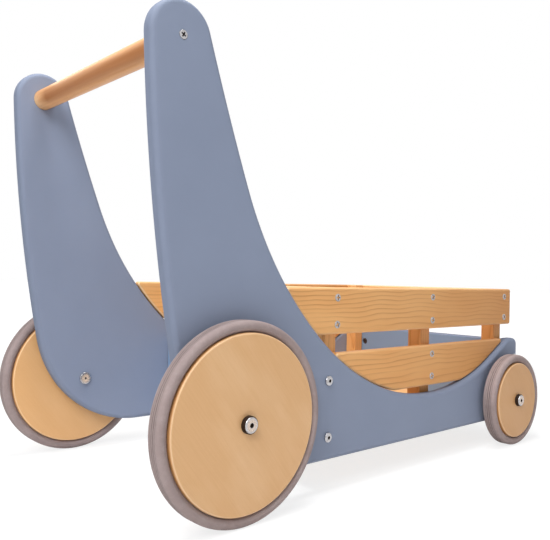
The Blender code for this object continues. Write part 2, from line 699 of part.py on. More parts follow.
def build_wheel(shop, name, axis, radius):
    """The turning pieces: plywood disc, rubber tyre and nylon bush. Heights run outwards from the panel."""
    inner = WHEEL_STANDOFF
    outer = inner + DISC_THICKNESS
    disc_radius = tread_radius(radius - TYRE_DEPTH)
    bore = hole_radius(BUSH_RADIUS)
    disc = [
        (bore, outer),
        (disc_radius - DISC_EDGE, outer),
        (disc_radius, outer - DISC_EDGE),
        (disc_radius, inner + DISC_EDGE),
        (disc_radius - DISC_EDGE, inner),
        (bore, inner),
    ]
    shop.turned(f"{name}_wheel_disc", disc, WHEEL_FACETS, shop.birch, axis, hollow=True)
    tread = tread_radius(radius)
    seat = disc_radius + SEAT_GAP
    middle = inner + DISC_THICKNESS / 2
    half = TYRE_WIDTH / 2
    shoulder = Vector((tread - TYRE_SHOULDER, middle + half - TYRE_SHOULDER))
    top = arc(shoulder, TYRE_SHOULDER, math.pi / 2, 0.0, math.pi / 4)
    low = [(r, 2 * middle - z) for r, z in reversed(top)]
    tyre = [(seat, middle + half), *top, *low, (seat, middle - half)]
    shop.turned(f"{name}_tyre", tyre, WHEEL_FACETS, shop.rubber, axis, hollow=True)
    running = hole_radius(SLEEVE_RADIUS, gap=RUNNING_GAP)
    flange_low = outer + SEAT_GAP
    bush = [
        (running, flange_low + BUSH_FLANGE_THICKNESS),
        (BUSH_FLANGE_RADIUS, flange_low + BUSH_FLANGE_THICKNESS),
        (BUSH_FLANGE_RADIUS, flange_low),
        (BUSH_RADIUS, flange_low),
        (BUSH_RADIUS, inner),
        (running, inner),
    ]
    shop.turned(f"{name}_hub_bush", bush, SMALL_FACETS, shop.nylon, axis, hollow=True)


def build_axle(shop, panel, name, axis, sign):
    """The pieces that stay with the panel: axle sleeve, its bolt from inside and the spacer washer."""
    head_low = WHEEL_STANDOFF + DISC_THICKNESS + BUSH_FLANGE_THICKNESS + 2 * SEAT_GAP
    head_high = head_low + SLEEVE_HEAD_THICKNESS
    crown = SLEEVE_HEAD_THICKNESS / 4
    bore = hole_radius(AXLE_BOLT_RADIUS)
    bolt_tip = AXLE_BOLT_LENGTH - PANEL_THICKNESS
    sleeve = [
        (0.0, head_high),
        (SLEEVE_HEAD_RADIUS - crown, head_high),
        (SLEEVE_HEAD_RADIUS, head_high - crown),
        (SLEEVE_HEAD_RADIUS, head_low),
        (SLEEVE_RADIUS, head_low),
        (SLEEVE_RADIUS, -SLEEVE_REACH_INTO_PANEL),
        (bore, -SLEEVE_REACH_INTO_PANEL),
        (bore, bolt_tip + SEAT_GAP),
        (0.0, bolt_tip + SEAT_GAP),
    ]
    made = shop.turned(f"{name}_axle_sleeve", sleeve, SMALL_FACETS, shop.steel, axis)
    inside = -PANEL_THICKNESS - SEAT_GAP
    bolt_bottom = inside - AXLE_BOLT_HEAD_THICKNESS
    bevel = AXLE_BOLT_HEAD_THICKNESS / 3
    bolt = [
        (0.0, bolt_tip),
        (AXLE_BOLT_RADIUS, bolt_tip),
        (AXLE_BOLT_RADIUS, inside),
        (AXLE_BOLT_HEAD_RADIUS, inside),
        (AXLE_BOLT_HEAD_RADIUS, bolt_bottom + bevel),
        (AXLE_BOLT_HEAD_RADIUS - bevel, bolt_bottom),
        (0.0, bolt_bottom),
    ]
    inner_bolt = shop.turned(f"{name}_axle_bolt", bolt, SMALL_FACETS, shop.steel, axis)
    spacer_bore = hole_radius(SLEEVE_RADIUS)
    spacer = [
        (spacer_bore, WHEEL_STANDOFF - SEAT_GAP),
        (BUSH_FLANGE_RADIUS, WHEEL_STANDOFF - SEAT_GAP),
        (BUSH_FLANGE_RADIUS, SEAT_GAP),
        (spacer_bore, SEAT_GAP),
    ]
    shop.turned(f"{name}_spacer", spacer, SMALL_FACETS, shop.nylon, axis, hollow=True)

    def at(out):
        return Vector((axis.location.x, axis.location.y + sign * out, axis.location.z))

    hole = shop.cutter(f"{name}_axle_hole", spacer_bore, at(CUT_OVERRUN), at(-PANEL_THICKNESS - CUT_OVERRUN))
    shop.cut(panel, hole)
    outer_key = shop.cutter(
        f"{name}_sleeve_key", HEX_KEY_RADIUS, at(head_high + CUT_OVERRUN), at(head_high - HEX_KEY_DEPTH), 6
    )
    shop.cut(made, outer_key)
    inner_key = shop.cutter(
        f"{name}_bolt_key", HEX_KEY_RADIUS, at(bolt_bottom - CUT_OVERRUN), at(bolt_bottom + HEX_KEY_DEPTH), 6
    )
    shop.cut(inner_bolt, inner_key)


def relieve_post(shop, post, axle, side, sign):
    """A scallop in a front post's foot that clears the head of the axle bolt beside it."""
    inside = sign * (INNER_HALF + CUT_OVERRUN)
    depth = sign * (INNER_HALF - AXLE_BOLT_HEAD_THICKNESS - AXLE_BOLT_RELIEF)
    scallop = shop.cutter(
        f"{side}_post_scallop",
        AXLE_BOLT_HEAD_RADIUS + AXLE_BOLT_RELIEF,
        (axle.x, inside, axle.z),
        (axle.x, depth, axle.z),
        2 * SMALL_FACETS,
    )
    shop.cut(post, scallop)


def main():
    """Builds the walker in an empty scene."""
    clear_scene()
    shop = Workshop()
    arcs = panel_arcs()
    panels = build_panels(shop, arcs)
    build_handle(shop, panels)
    posts = build_posts(shop)
    build_slats(shop, arcs)
    boards = build_boards(shop)
    build_bolts(shop, panels, boards)
    build_wheels(shop, panels, posts)


main()
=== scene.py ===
"""Looks of the wooden push walker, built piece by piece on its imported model.

Metres, +X forwards, +Y to the walker's left, +Z up. Each finished piece sits at the origin, with its
place in its mesh.
"""

import json
import logging
import math
from collections.abc import Iterable, Sequence
from dataclasses import dataclass, field
from enum import Enum
from functools import cached_property

import bmesh
import bpy
from mathutils import Matrix, Vector

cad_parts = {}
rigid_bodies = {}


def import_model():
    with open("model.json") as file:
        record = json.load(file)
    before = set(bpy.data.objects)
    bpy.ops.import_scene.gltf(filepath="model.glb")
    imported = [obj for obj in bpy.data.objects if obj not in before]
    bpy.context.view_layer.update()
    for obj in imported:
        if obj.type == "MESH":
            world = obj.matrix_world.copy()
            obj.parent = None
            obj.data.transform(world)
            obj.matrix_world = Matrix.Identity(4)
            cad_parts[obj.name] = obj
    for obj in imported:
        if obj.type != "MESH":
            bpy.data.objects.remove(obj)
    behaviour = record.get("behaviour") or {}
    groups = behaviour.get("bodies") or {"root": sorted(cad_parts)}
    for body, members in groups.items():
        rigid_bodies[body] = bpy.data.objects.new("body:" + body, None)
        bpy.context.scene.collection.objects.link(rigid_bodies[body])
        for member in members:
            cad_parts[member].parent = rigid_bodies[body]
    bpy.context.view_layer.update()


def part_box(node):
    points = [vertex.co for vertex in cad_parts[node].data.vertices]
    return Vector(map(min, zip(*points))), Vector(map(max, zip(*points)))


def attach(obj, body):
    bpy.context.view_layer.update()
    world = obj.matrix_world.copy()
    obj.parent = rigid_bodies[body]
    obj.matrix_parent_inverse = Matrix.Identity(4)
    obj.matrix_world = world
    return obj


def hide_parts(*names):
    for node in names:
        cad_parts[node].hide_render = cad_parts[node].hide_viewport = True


Colour = tuple[float, float, float, float]
Sockets = dict[int | str, object]
Outline = list[Vector]
Pairs = list[tuple[float, float]]
Shape = bmesh.types.BMesh
Item = bpy.types.Object

MM = 0.001
FRAME_BODY = "walker_frame"
SIDES = {"left": 1.0, "right": -1.0}
ENDS = ("rear", "front")
INWARD = {"rear": 1.0, "front": -1.0}
CORNERS = [(end, side) for end in ENDS for side in SIDES]
LEVELS = ("upper", "lower")
POSTS = ("rear", "middle", "front")
FORWARD, LEFT, UP = Vector((1, 0, 0)), Vector((0, 1, 0)), Vector((0, 0, 1))
WHITE = (1.0, 1.0, 1.0, 1.0)
SMOOTH_BELOW = math.radians(32.0)
ARC_STEP = math.radians(7.5)
CORNER_ROOM = 0.4 * MM  # what a plate's corner radius needs beyond its rounded edge
LOG = logging.getLogger("push_walker")


class Signal:
    """A node's output socket that takes part in Python sums: each operator lays one Math node."""

    def __init__(self, sheet: "Sheet", socket: bpy.types.NodeSocket) -> None:
        """Keeps the socket and the sheet that it is drawn on."""
        self.sheet = sheet
        self.socket = socket

    def math(self, operation: str, first: object, second: object = 0.0) -> "Signal":
        """The value of one Math node, on two numbers or signals."""
        return self.sheet.node("ShaderNodeMath", {"operation": operation}, {0: first, 1: second})

    def __add__(self, other: object) -> "Signal":
        """This value plus another."""
        return self.math("ADD", self, other)

    __radd__ = __add__

    def __sub__(self, other: object) -> "Signal":
        """This value less another."""
        return self.math("SUBTRACT", self, other)

    def __rsub__(self, other: object) -> "Signal":
        """Another value less this."""
        return self.math("SUBTRACT", other, self)

    def __mul__(self, other: object) -> "Signal":
        """This value times another."""
        return self.math("MULTIPLY", self, other)

    __rmul__ = __mul__

    def __truediv__(self, other: object) -> "Signal":
        """This value over another."""
        return self.math("DIVIDE", self, other)

    def __rtruediv__(self, other: object) -> "Signal":
        """Another value over this."""
        return self.math("DIVIDE", other, self)

    def fraction(self) -> "Signal":
        """The part of this value after the point."""
        return self.math("FRACT", self)

    def root(self) -> "Signal":
        """The square root of this value."""
        return self.math("SQRT", self)

    def most(self, other: object) -> "Signal":
        """The larger of this value and another."""
        return self.math("MAXIMUM", self, other)

    def least(self, other: object) -> "Signal":
        """The smaller of this value and another."""
        return self.math("MINIMUM", self, other)

    def above(self, level: float) -> "Signal":
        """How far this value lies above a level, and 0 below it."""
        return (self - level).most(0.0)


class Sheet:
    """A node tree on which every node is laid by one method."""

    def __init__(self, tree: bpy.types.NodeTree) -> None:
        """Takes over a tree and clears it."""
        self.tree = tree
        self.tree.nodes.clear()

    def node(
        self,
        kind: str,
        settings: dict[str, object] | None = None,
        inputs: Sockets | None = None,
        output: int | str = 0,
    ) -> Signal:
        """Lays one node.

        Args:
            kind: The node's type.
            settings: Its properties, which are set first. "stops" are a ramp's places and grey levels.
            inputs: A value or a signal for each socket that is set, by name or number.
            output: The output that is wanted, by name or number.

        Returns:
            That output, or the first input of a node that ends its tree.
        """
        made = self.tree.nodes.new(kind)
        for name, value in (settings or {}).items():
            if name == "stops":
                self.set_stops(made.color_ramp, value)
            else:
                setattr(made, name, value)
        for key, value in (inputs or {}).items():
            if isinstance(value, Signal):
                self.tree.links.new(value.socket, made.inputs[key])
            else:
                made.inputs[key].default_value = value
        return Signal(self, made.outputs[output] if made.outputs else made.inputs[0])

    @staticmethod
    def set_stops(ramp: bpy.types.ColorRamp, stops: Pairs) -> None:
        """Sets a ramp's stops.

        Args:
            ramp: The ramp.
            stops: Each stop's place and grey level.
        """
        while len(ramp.elements) < len(stops):
            ramp.elements.new(1.0)
        for element, (place, level) in zip(ramp.elements, stops):
            element.position = place
            element.color = (level, level, level, 1.0)

    def objects(self) -> Signal:
        """The piece's own coordinates."""
        return self.node("ShaderNodeTexCoord", output="Object")

    def attribute(self, name: str, output: str = "Fac") -> Signal:
        """A value that the mesh holds."""
        return self.node("ShaderNodeAttribute", {"attribute_name": name}, output=output)

    def stretch(self, vector: Signal, scale: Sequence[float], turn: Sequence[float] = (0, 0, 0)) -> Signal:
        """Coordinates turned and then stretched along each axis."""
        return self.node("ShaderNodeMapping", {}, {"Vector": vector, "Rotation": turn, "Scale": scale})

    def parts(self, vector: Signal) -> tuple[Signal, ...]:
        """The X, Y and Z of a vector."""
        outputs = self.node("ShaderNodeSeparateXYZ", {}, {0: vector}).socket.node.outputs
        return tuple(Signal(self, output) for output in outputs)

    def noise(self, vector: Signal, scale: float, detail: float = 2.0, rough: float = 0.5) -> Signal:
        """Noise from 0 to 1 about a half."""
        inputs = {"Vector": vector, "Scale": scale, "Detail": detail, "Roughness": rough}
        return self.node("ShaderNodeTexNoise", {}, inputs)

    def drawn(self, vector: Signal, scale: Sequence[float], detail: float = 2, rough: float = 0.5) -> Signal:
        """Noise drawn out by its own scale along each axis."""
        return self.noise(self.stretch(vector, scale), 1.0, detail, rough)

    def ramp(self, value: Signal, stops: Pairs) -> Signal:
        """A value read off a curve of grey stops."""
        return self.node("ShaderNodeValToRGB", {"stops": stops}, {0: value})

    def rise(self, value: Signal, start: float, end: float) -> Signal:
        """A value's climb from 0 to 1 between two levels."""
        return self.ramp(value, [(start, 0.0), (end, 1.0)])

    def mix(self, first: object, second: object, share: object) -> Signal:
        """A colour between two others, by the share of the second."""
        settings = {"data_type": "RGBA", "clamp_factor": True}
        return self.node("ShaderNodeMix", settings, {0: share, 6: first, 7: second}, 2)

    def bump(self, height: Signal, strength: float, distance: float) -> Signal:
        """A normal raised by a height."""
        inputs = {"Height": height, "Strength": strength, "Distance": distance}
        return self.node("ShaderNodeBump", {}, inputs)

    def seen(self) -> Signal:
        """1 for what the camera sees, by itself or in a reflection, and 0 for what only lights."""
        path = self.node("ShaderNodeLightPath").socket.node.outputs
        rays = [Signal(self, path[f"Is {kind} Ray"]) for kind in ("Camera", "Glossy", "Transmission")]
        return rays[0].most(rays[1]).most(rays[2])


def srgb(*levels: int) -> Colour:
    """A linear colour from screen levels of red, green and blue, from 0 to 255."""
    shares = [level / 255.0 for level in levels]
    return *(s / 12.92 if s <= 0.04045 else ((s + 0.055) / 1.055) ** 2.4 for s in shares), 1.0


@dataclass(frozen=True)
class Finish:
    """A surface finish, named as the record's material slot, and how strongly it mirrors."""

    slot: str
    specular: float = 0.5

    def build(self) -> bpy.types.Material:
        """Lays the finish's nodes.

        Returns:
            The material.
        """
        material = bpy.data.materials.new(f"{self.slot}_finish")
        material.use_nodes = True
        sheet = Sheet(material.node_tree)
        inputs = {"Specular IOR Level": self.specular, **self.inputs(sheet)}
        surface = sheet.node("ShaderNodeBsdfPrincipled", {}, inputs)
        sheet.node("ShaderNodeOutputMaterial", {}, {"Surface": surface})
        return material

    def inputs(self, sheet: Sheet) -> Sockets:
        """What the surface shader's other sockets take.

        Args:
            sheet: The material's node tree.

        Returns:
            A value or a signal for each of those sockets.
        """
        raise NotImplementedError


@dataclass(frozen=True)
class SatinPaint(Finish):
    """Sprayed matt paint: faint orange peel, slow drift of tone, rougher sawn edges with a painted shade that
    also touches the arrises, and rubbed arrises.
    """

    specular: float = 0.22
    colour: Colour = srgb(137, 147, 169)
    deep: Colour = srgb(133, 143, 165)
    rubbed: Colour = srgb(141, 151, 173)
    # a darker paint, used as painted shade on the sawn edges and arrises
    edge_shade: Colour = srgb(117, 126, 146)
    cool: Colour = srgb(122, 146, 176)

    def inputs(self, sheet: Sheet) -> Sockets:
        """What the paint's sockets take.

        Args:
            sheet: The material's node tree.

        Returns:
            A value or a signal for each socket.
        """
        place = sheet.objects()
        peel, speck = sheet.noise(place, 620.0, 2.0, 0.6), sheet.noise(place, 1900.0, 1.0)
        arris, side = sheet.attribute("arris"), sheet.attribute("side")
        rub = arris * (0.1 + 0.3 * sheet.noise(place, 55.0, 3.0, 0.65))
        tone = sheet.mix(self.deep, self.colour, sheet.rise(sheet.noise(place, 9.0, 3.0), 0.3, 0.7))
        coat = sheet.mix(tone, self.cool, sheet.attribute("ripe"))
        # painted shade: the sawn edges, and faintly the arrises, are darkened so that they show no brighter
        # than the faces under the side lamp
        sawn = sheet.mix(coat, self.edge_shade, side * 0.95 + arris * 0.25)
        return {
            "Base Color": sheet.mix(sawn, self.rubbed, rub),
            "Roughness": 0.52 + 0.12 * speck - 0.06 * rub + 0.1 * side,
            "Normal": sheet.bump(peel, 0.06, 0.25 * MM),
        }


@dataclass(frozen=True)
class Pine(Finish):
    """Oiled softwood. The grain runs along the plank, in rings about a pith beside it. Some planks carry a
    painted shade, and the pale arrises partly a painted highlight.
    """

    specular: float = 0.4
    early: Colour = srgb(236, 183, 121)
    late: Colour = srgb(184, 122, 62)
    warm: Colour = srgb(226, 163, 97)
    pale: Colour = srgb(246, 216, 176)
    # a darker colour, used as painted shade on the near-side posts and the slats' front ends
    painted_shade: Colour = srgb(190, 126, 64)
    ring: float = 4.3 * MM
    wander: float = 22.0 * MM
    ripple: float = 5.0 * MM

    def inputs(self, sheet: Sheet) -> Sockets:
        """What the pine's sockets take.

        Args:
            sheet: The material's node tree.

        Returns:
            A value or a signal for each socket.
        """
        plank = sheet.attribute("grain", "Vector")
        wander = sheet.drawn(plank, (7.0, 16.0, 16.0))
        ripple = sheet.drawn(plank, (13.0, 40.0, 40.0))
        _, across, depth = sheet.parts(plank)
        shifted = across + (wander - 0.5) * self.wander + (ripple - 0.5) * self.ripple
        year = ((shifted * shifted + depth * depth).root() / self.ring).fraction()
        line = sheet.ramp(year, [(0.0, 0.0), (0.5, 0.06), (0.76, 0.45), (0.88, 1.0), (0.96, 0.3), (1.0, 0.0)])
        strength = sheet.ramp(sheet.drawn(plank, (8.0, 80.0, 80.0), 3.0, 0.6), [(0.3, 0.05), (0.66, 0.85)])
        fibre = sheet.drawn(plank, (30.0, 1500.0, 1500.0), 3.0, 0.7)
        duct = sheet.rise(sheet.drawn(plank, (90.0, 2600.0, 2600.0)), 0.66, 0.76)
        ground = sheet.mix(self.early, self.warm, sheet.rise(wander, 0.3, 0.75))
        # painted shade: the near-side posts and the slats' front ends are darkened towards this colour
        toned = sheet.mix(ground, self.painted_shade, sheet.attribute("ripe"))
        lined = sheet.mix(toned, self.late, line * strength)
        fine = sheet.mix(lined, self.late, 0.2 * fibre.above(0.42) + 0.16 * duct)
        return {
            # the pale arrises are a sanded edge, and on the slats' end faces also a painted highlight
            "Base Color": sheet.mix(fine, self.pale, sheet.attribute("arris") * 0.6),
            "Roughness": 0.46 + 0.14 * fibre - 0.06 * line,
            "Normal": sheet.bump(fibre * 0.6 - line * 0.5 - duct * 0.4, 0.16, 0.2 * MM),
        }


@dataclass(frozen=True)
class Birch(Finish):
    """Lacquered birch ply: pale, with fine slanting fibre, short pores and glued layers at its edge, a
    painted highlight on its rounded rims and painted shade on the sides beyond them and on the front discs.
    """

    specular: float = 0.42
    ground: Colour = srgb(216, 171, 122)
    fibre: Colour = srgb(204, 155, 103)
    pale: Colour = srgb(254, 226, 188)
    fresh: Colour = srgb(248, 188, 120)
    sawn: Colour = srgb(198, 142, 88)
    glue: Colour = srgb(166, 112, 64)
    layer: float = 1.45 * MM

    def inputs(self, sheet: Sheet) -> Sockets:
        """What the plywood's sockets take.

        Args:
            sheet: The material's node tree.

        Returns:
            A value or a signal for each socket.
        """
        veneer = sheet.attribute("grain", "Vector")
        cloud = sheet.drawn(veneer, (10.0, 24.0, 24.0), 3.0)
        streak = sheet.drawn(veneer, (22.0, 620.0, 60.0), 3.0, 0.6)
        pores = sheet.rise(sheet.drawn(veneer, (150.0, 2300.0, 400.0), 1.0), 0.64, 0.74)
        depth = sheet.parts(veneer)[2]
        glued = sheet.ramp((depth / self.layer).fraction(), [(0.0, 1.0), (0.1, 0.0), (0.9, 0.0), (1.0, 1.0)])
        side, ripe = sheet.attribute("side"), sheet.attribute("ripe")
        base = sheet.mix(self.ground, self.fibre, streak.above(0.4) * 0.95)
        clouded = sheet.mix(base, self.pale, cloud.above(0.45) * 0.55)
        pored = sheet.mix(clouded, self.fibre, pores * 0.3)
        # the side beyond the rim is browner: the ply's sawn colour with a painted shade
        edged = sheet.mix(pored, self.sawn, side * 0.85)
        # painted shade: the front discs are darkened towards the sawn colour; other pieces are made paler
        # towards the fresh colour
        toned = sheet.mix(sheet.mix(edged, self.sawn, ripe), self.fresh, (0.0 - ripe).most(0.0))
        layered = sheet.mix(toned, self.glue, glued * side * 0.6)
        return {
            # painted highlight on the rounded rims
            "Base Color": sheet.mix(layered, self.pale, sheet.attribute("arris") * 0.36),
            "Roughness": 0.38 + 0.14 * streak,
            "Normal": sheet.bump(streak * 0.5 - pores * 0.5, 0.1, 0.15 * MM),
        }


@dataclass(frozen=True)
class Dowel(Finish):
    """A lacquered round hardwood dowel: long streaks, a painted shade along one side, a painted highlight at
    one end, and short ray flecks.
    """

    specular: float = 0.35
    ground: Colour = srgb(231, 177, 124)
    dark: Colour = srgb(212, 152, 94)
    # a darker colour, used as painted shade
    painted_shade: Colour = srgb(160, 97, 38)
    # a paler colour, used as a painted highlight at the left end
    pale: Colour = srgb(255, 212, 158)
    fleck: Colour = srgb(170, 110, 62)

    def inputs(self, sheet: Sheet) -> Sockets:
        """What the dowel's sockets take.

        Args:
            sheet: The material's node tree.

        Returns:
            A value or a signal for each socket.
        """
        rod = sheet.attribute("grain", "Vector")
        streak = sheet.drawn(rod, (6.0, 170.0, 170.0), 4.0, 0.6)
        fibre = sheet.drawn(rod, (24.0, 1200.0, 1200.0))
        flecks = sheet.rise(sheet.drawn(rod, (260.0, 1700.0, 1700.0), 1.0), 0.62, 0.7)
        base = sheet.mix(self.ground, self.dark, sheet.rise(streak, 0.32, 0.72))
        # painted shade on the side that faces the rear, and a painted highlight where the value falls below
        # 0, at the left end
        ripe = sheet.attribute("ripe") * (0.75 + 0.5 * streak)
        shaded_and_lit = sheet.mix(sheet.mix(base, self.painted_shade, ripe), self.pale, (0.0 - ripe).most(0.0))
        return {
            "Base Color": sheet.mix(shaded_and_lit, self.fleck, flecks * 0.3 + fibre.above(0.5) * 0.4),
            "Roughness": 0.36 + 0.14 * fibre,
            "Normal": sheet.bump(fibre * 0.5 - flecks * 0.4, 0.1, 0.15 * MM),
            "Coat Weight": 0.12,
            "Coat Roughness": 0.25,
        }


@dataclass(frozen=True)
class Rubber(Finish):
    """Matt grey rubber with a fine moulded grain, a dusty bloom and a painted shade in its tread's grooves.
    """

    specular: float = 0.3
    colour: Colour = srgb(157, 141, 139)
    shade: Colour = srgb(145, 129, 127)
    bloom: Colour = srgb(176, 162, 158)
    groove: Colour = srgb(102, 88, 85)

    def inputs(self, sheet: Sheet) -> Sockets:
        """What the rubber's sockets take.

        Args:
            sheet: The material's node tree.

        Returns:
            A value or a signal for each socket.
        """
        place = sheet.objects()
        cloud = sheet.noise(place, 42.0, 4.0, 0.6)
        dust = sheet.noise(place, 260.0, 3.0, 0.7)
        tone = sheet.mix(self.shade, self.colour, sheet.rise(cloud, 0.3, 0.65))
        dusty = sheet.mix(tone, self.bloom, dust.above(0.5) * 1.2)
        return {
            # painted shade in the tread's grooves
            "Base Color": sheet.mix(dusty, self.groove, sheet.attribute("recess")),
            "Roughness": 0.66 + 0.2 * dust,
            "Normal": sheet.bump(sheet.noise(place, 2400.0), 0.12, 0.12 * MM),
        }


@dataclass(frozen=True)
class Nickel(Finish):
    """Bright plated steel with faint turning marks, handling haze, a warm beige on some heads, and a painted
    shade in its recesses.
    """

    colour: Colour = (0.55, 0.55, 0.57, 1.0)
    dull: Colour = (0.36, 0.32, 0.30, 1.0)
    # a warm beige, mixed with less metal into the axle bolts and the caps' faces
    beige: Colour = (0.72, 0.55, 0.42, 1.0)
    # a near black, used as painted shade in the recesses
    recess_shade: Colour = (0.034, 0.021, 0.015, 1.0)

    def inputs(self, sheet: Sheet) -> Sockets:
        """What the metal's sockets take.

        Args:
            sheet: The material's node tree.

        Returns:
            A value or a signal for each socket.
        """
        place = sheet.objects()
        haze = sheet.noise(place, 380.0, 3.0, 0.6)
        scratch = sheet.noise(sheet.stretch(place, (400.0, 400.0, 5200.0), (0.4, 0.2, 0.6)), 1.0)
        recess, ripe = sheet.attribute("recess"), sheet.attribute("ripe")
        plate = sheet.mix(self.colour, self.dull, haze.above(0.4) * 2.2)
        return {
            # painted shade in the recesses
            "Base Color": sheet.mix(sheet.mix(plate, self.beige, ripe), self.recess_shade, recess),
            "Metallic": 1.0 - 0.7 * ripe,
            "Roughness": 0.16 + 0.16 * haze + 0.06 * scratch + 0.4 * recess,
            "Normal": sheet.bump(scratch, 0.03, 0.05 * MM),
        }


@dataclass(frozen=True)
class Nylon(Finish):
    """Black moulded nylon, tinted brown as a painted reflection of the wood round it."""

    specular: float = 0.2
    # both blacks lean brown: a painted reflection of the wood round the hubs
    colour: Colour = (0.016, 0.008, 0.005, 1.0)
    worn: Colour = (0.045, 0.026, 0.017, 1.0)

    def inputs(self, sheet: Sheet) -> Sockets:
        """What the nylon's sockets take.

        Args:
            sheet: The material's node tree.

        Returns:
            A value or a signal for each socket.
        """
        place = sheet.objects()
        scuff = sheet.noise(place, 300.0, 3.0, 0.7)
        return {
            "Base Color": sheet.mix(self.colour, self.worn, scuff.above(0.45) * 2.0),
            "Roughness": 0.42 + 0.2 * scuff,
            "Normal": sheet.bump(sheet.noise(place, 1500.0), 0.12, 0.1 * MM),
        }


class Stock(Enum):
    """The finishes that the walker is made in."""

    PAINT = SatinPaint("blue_grey_paint")
    PINE = Pine("pine")
    BIRCH = Birch("birch_plywood")
    DOWEL = Dowel("beech_dowel")
    RUBBER = Rubber("grey_rubber")
    NICKEL = Nickel("nickel_steel")
    NYLON = Nylon("black_nylon")

    @cached_property
    def material(self) -> bpy.types.Material:
        """The finish's material, built when it is first used."""
        return self.value.build()


class Plane(Enum):
    """The plane of an outline: the axes of its width, its height and its thickness."""

    SIDE = (0, 2, 1)
    FRONT = (1, 2, 0)
    TOP = (0, 1, 2)

    def point(self, *place: float) -> Vector:
        """A point of the walker's frame, from its width, height and depth in this plane."""
        return Vector([place[self.value.index(axis)] for axis in range(3)])


@dataclass(frozen=True)
class Grain:
    """How a plank lies in its log: the axes of its length and width, the pith beside it, and a shift of its
    tone that also carries painted shade and highlight.
    """

    along: Vector
    across: Vector
    pith_across: float = 62.0 * MM
    pith_depth: float = 44.0 * MM
    start: float = 0.0
    ripe: tuple[float, float] = (0.0, 0.0)

    def lay(self, shape: Shape) -> None:
        """Writes the plank's own coordinates and its shift of tone, which carries painted shade, into a mesh.

        Args:
            shape: The mesh, in place.
        """
        layer = shape.verts.layers.float_vector.new("grain")
        ripe = shape.verts.layers.float.new("ripe")
        middle = sum((v.co for v in shape.verts), Vector()) / len(shape.verts)
        axes = (self.along, self.across, self.along.cross(self.across))
        shift = Vector((self.start, self.pith_across, self.pith_depth))
        reaches = [v.co.dot(self.along) for v in shape.verts]
        low, length = min(reaches), max(reaches) - min(reaches)
        for vert, reach in zip(shape.verts, reaches):
            vert[ripe] = self.ripe[0] + (self.ripe[1] - self.ripe[0]) * (reach - low) / length
            vert[layer] = Vector([(vert.co - middle).dot(axis) for axis in axes]) + shift

    def lay_on(self, made: Item) -> None:
        """Lays the grain on an object's finished mesh.

        Args:
            made: The object.
        """
        shape = bmesh.new()
        shape.from_mesh(made.data)
        self.lay(shape)
        shape.to_mesh(made.data)
        shape.free()


def arc(centre: Vector, radius: float, start: float, end: float, longest: float = 7.0 * MM) -> Outline:
    """Points along an arc, both ends included.

    Args:
        centre: The arc's centre.
        radius: Its radius.
        start: The angle where it starts.
        end: The angle where it ends.
        longest: The longest chord.

    Returns:
        The points in order.
    """
    sweep = abs(end - start)
    count = max(2, math.ceil(sweep / ARC_STEP), math.ceil(sweep * radius / longest))
    angles = [start + (end - start) * i / count for i in range(count + 1)]
    return [centre + Vector((math.cos(a), math.sin(a))) * radius for a in angles]


def heading(start: Vector, end: Vector) -> float:
    """Angle of the way from one point to another, from 0 to a full turn."""
    way = end - start
    return math.atan2(way.y, way.x) % math.tau


def fillet(before: Vector, corner: Vector, after: Vector, radius: float) -> Outline:
    """Points of an arc that rounds a corner between two straight runs.

    Args:
        before: A point of the run that comes in.
        corner: The corner.
        after: A point of the run that goes out.
        radius: The arc's radius.

    Returns:
        The points in order.
    """
    back, on = (before - corner).normalized(), (after - corner).normalized()
    half = back.angle(on) / 2
    centre = corner + (back + on).normalized() * (radius / math.sin(half))
    reach = radius / math.tan(half)
    start = heading(centre, corner + back * reach)
    sweep = (heading(centre, corner + on * reach) - start + math.pi) % math.tau - math.pi
    return arc(centre, radius, start, start + sweep)


def rectangle(low: Vector, high: Vector, radius: float) -> Outline:
    """A rectangle with rounded corners.

    Args:
        low: Its lowest corner.
        high: Its highest corner.
        radius: The radius of its corners.

    Returns:
        Its points, with its inside to their left.
    """
    corners = [low, Vector((high.x, low.y)), high, Vector((low.x, high.y))]
    points: Outline = []
    for i, corner in enumerate(corners):
        points += fillet(corners[i - 1], corner, corners[(i + 1) % 4], radius)
    return points


def inset(outline: Outline, amount: float) -> Outline:
    """An outline moved inwards.

    Args:
        outline: Its points, with its inside to their left.
        amount: How far it moves.

    Returns:
        As many points.
    """
    moved = []
    for i, point in enumerate(outline):
        before = (point - outline[i - 1]).normalized()
        after = (outline[(i + 1) % len(outline)] - point).normalized()
        left, right = Vector((-before.y, before.x)), Vector((-after.y, after.x))
        moved.append(point + (left + right) * (amount / (1.0 + left.dot(right))))
    return moved


def skin(made: Shape, loops: Sequence[Sequence[bmesh.types.BMVert]], hollow: bool = False) -> Shape:
    """Joins closed loops of as many points by quads.

    Args:
        made: The mesh that holds the loops.
        loops: The loops in order.
        hollow: Whether the last loop joins the first, or both ends are capped.

    Returns:
        The closed mesh.
    """
    pairs = list(zip(loops, loops[1:])) + ([(loops[-1], loops[0])] if hollow else [])
    for first, second in pairs:
        for i in range(len(first)):
            j = (i + 1) % len(first)
            made.faces.new((first[i], first[j], second[j], second[i]))
    if not hollow:
        made.faces.new(loops[0])
        made.faces.new(loops[-1])
    bmesh.ops.recalc_face_normals(made, faces=made.faces)
    return made


def ring(made: Shape, reaches: Sequence[float], height: float) -> list[bmesh.types.BMVert]:
    """A closed loop of points round the Z axis, each with its own radius, at one height."""
    angles = [math.tau * i / len(reaches) for i in range(len(reaches))]
    return [made.verts.new((r * math.cos(a), r * math.sin(a), height)) for r, a in zip(reaches, angles)]


def turned(profile: Pairs, facets: int, hollow: bool = False) -> Shape:
    """A turned piece about +Z, from radii and heights along its section."""
    made = bmesh.new()
    return skin(made, [ring(made, [radius] * facets, height) for radius, height in profile], hollow)


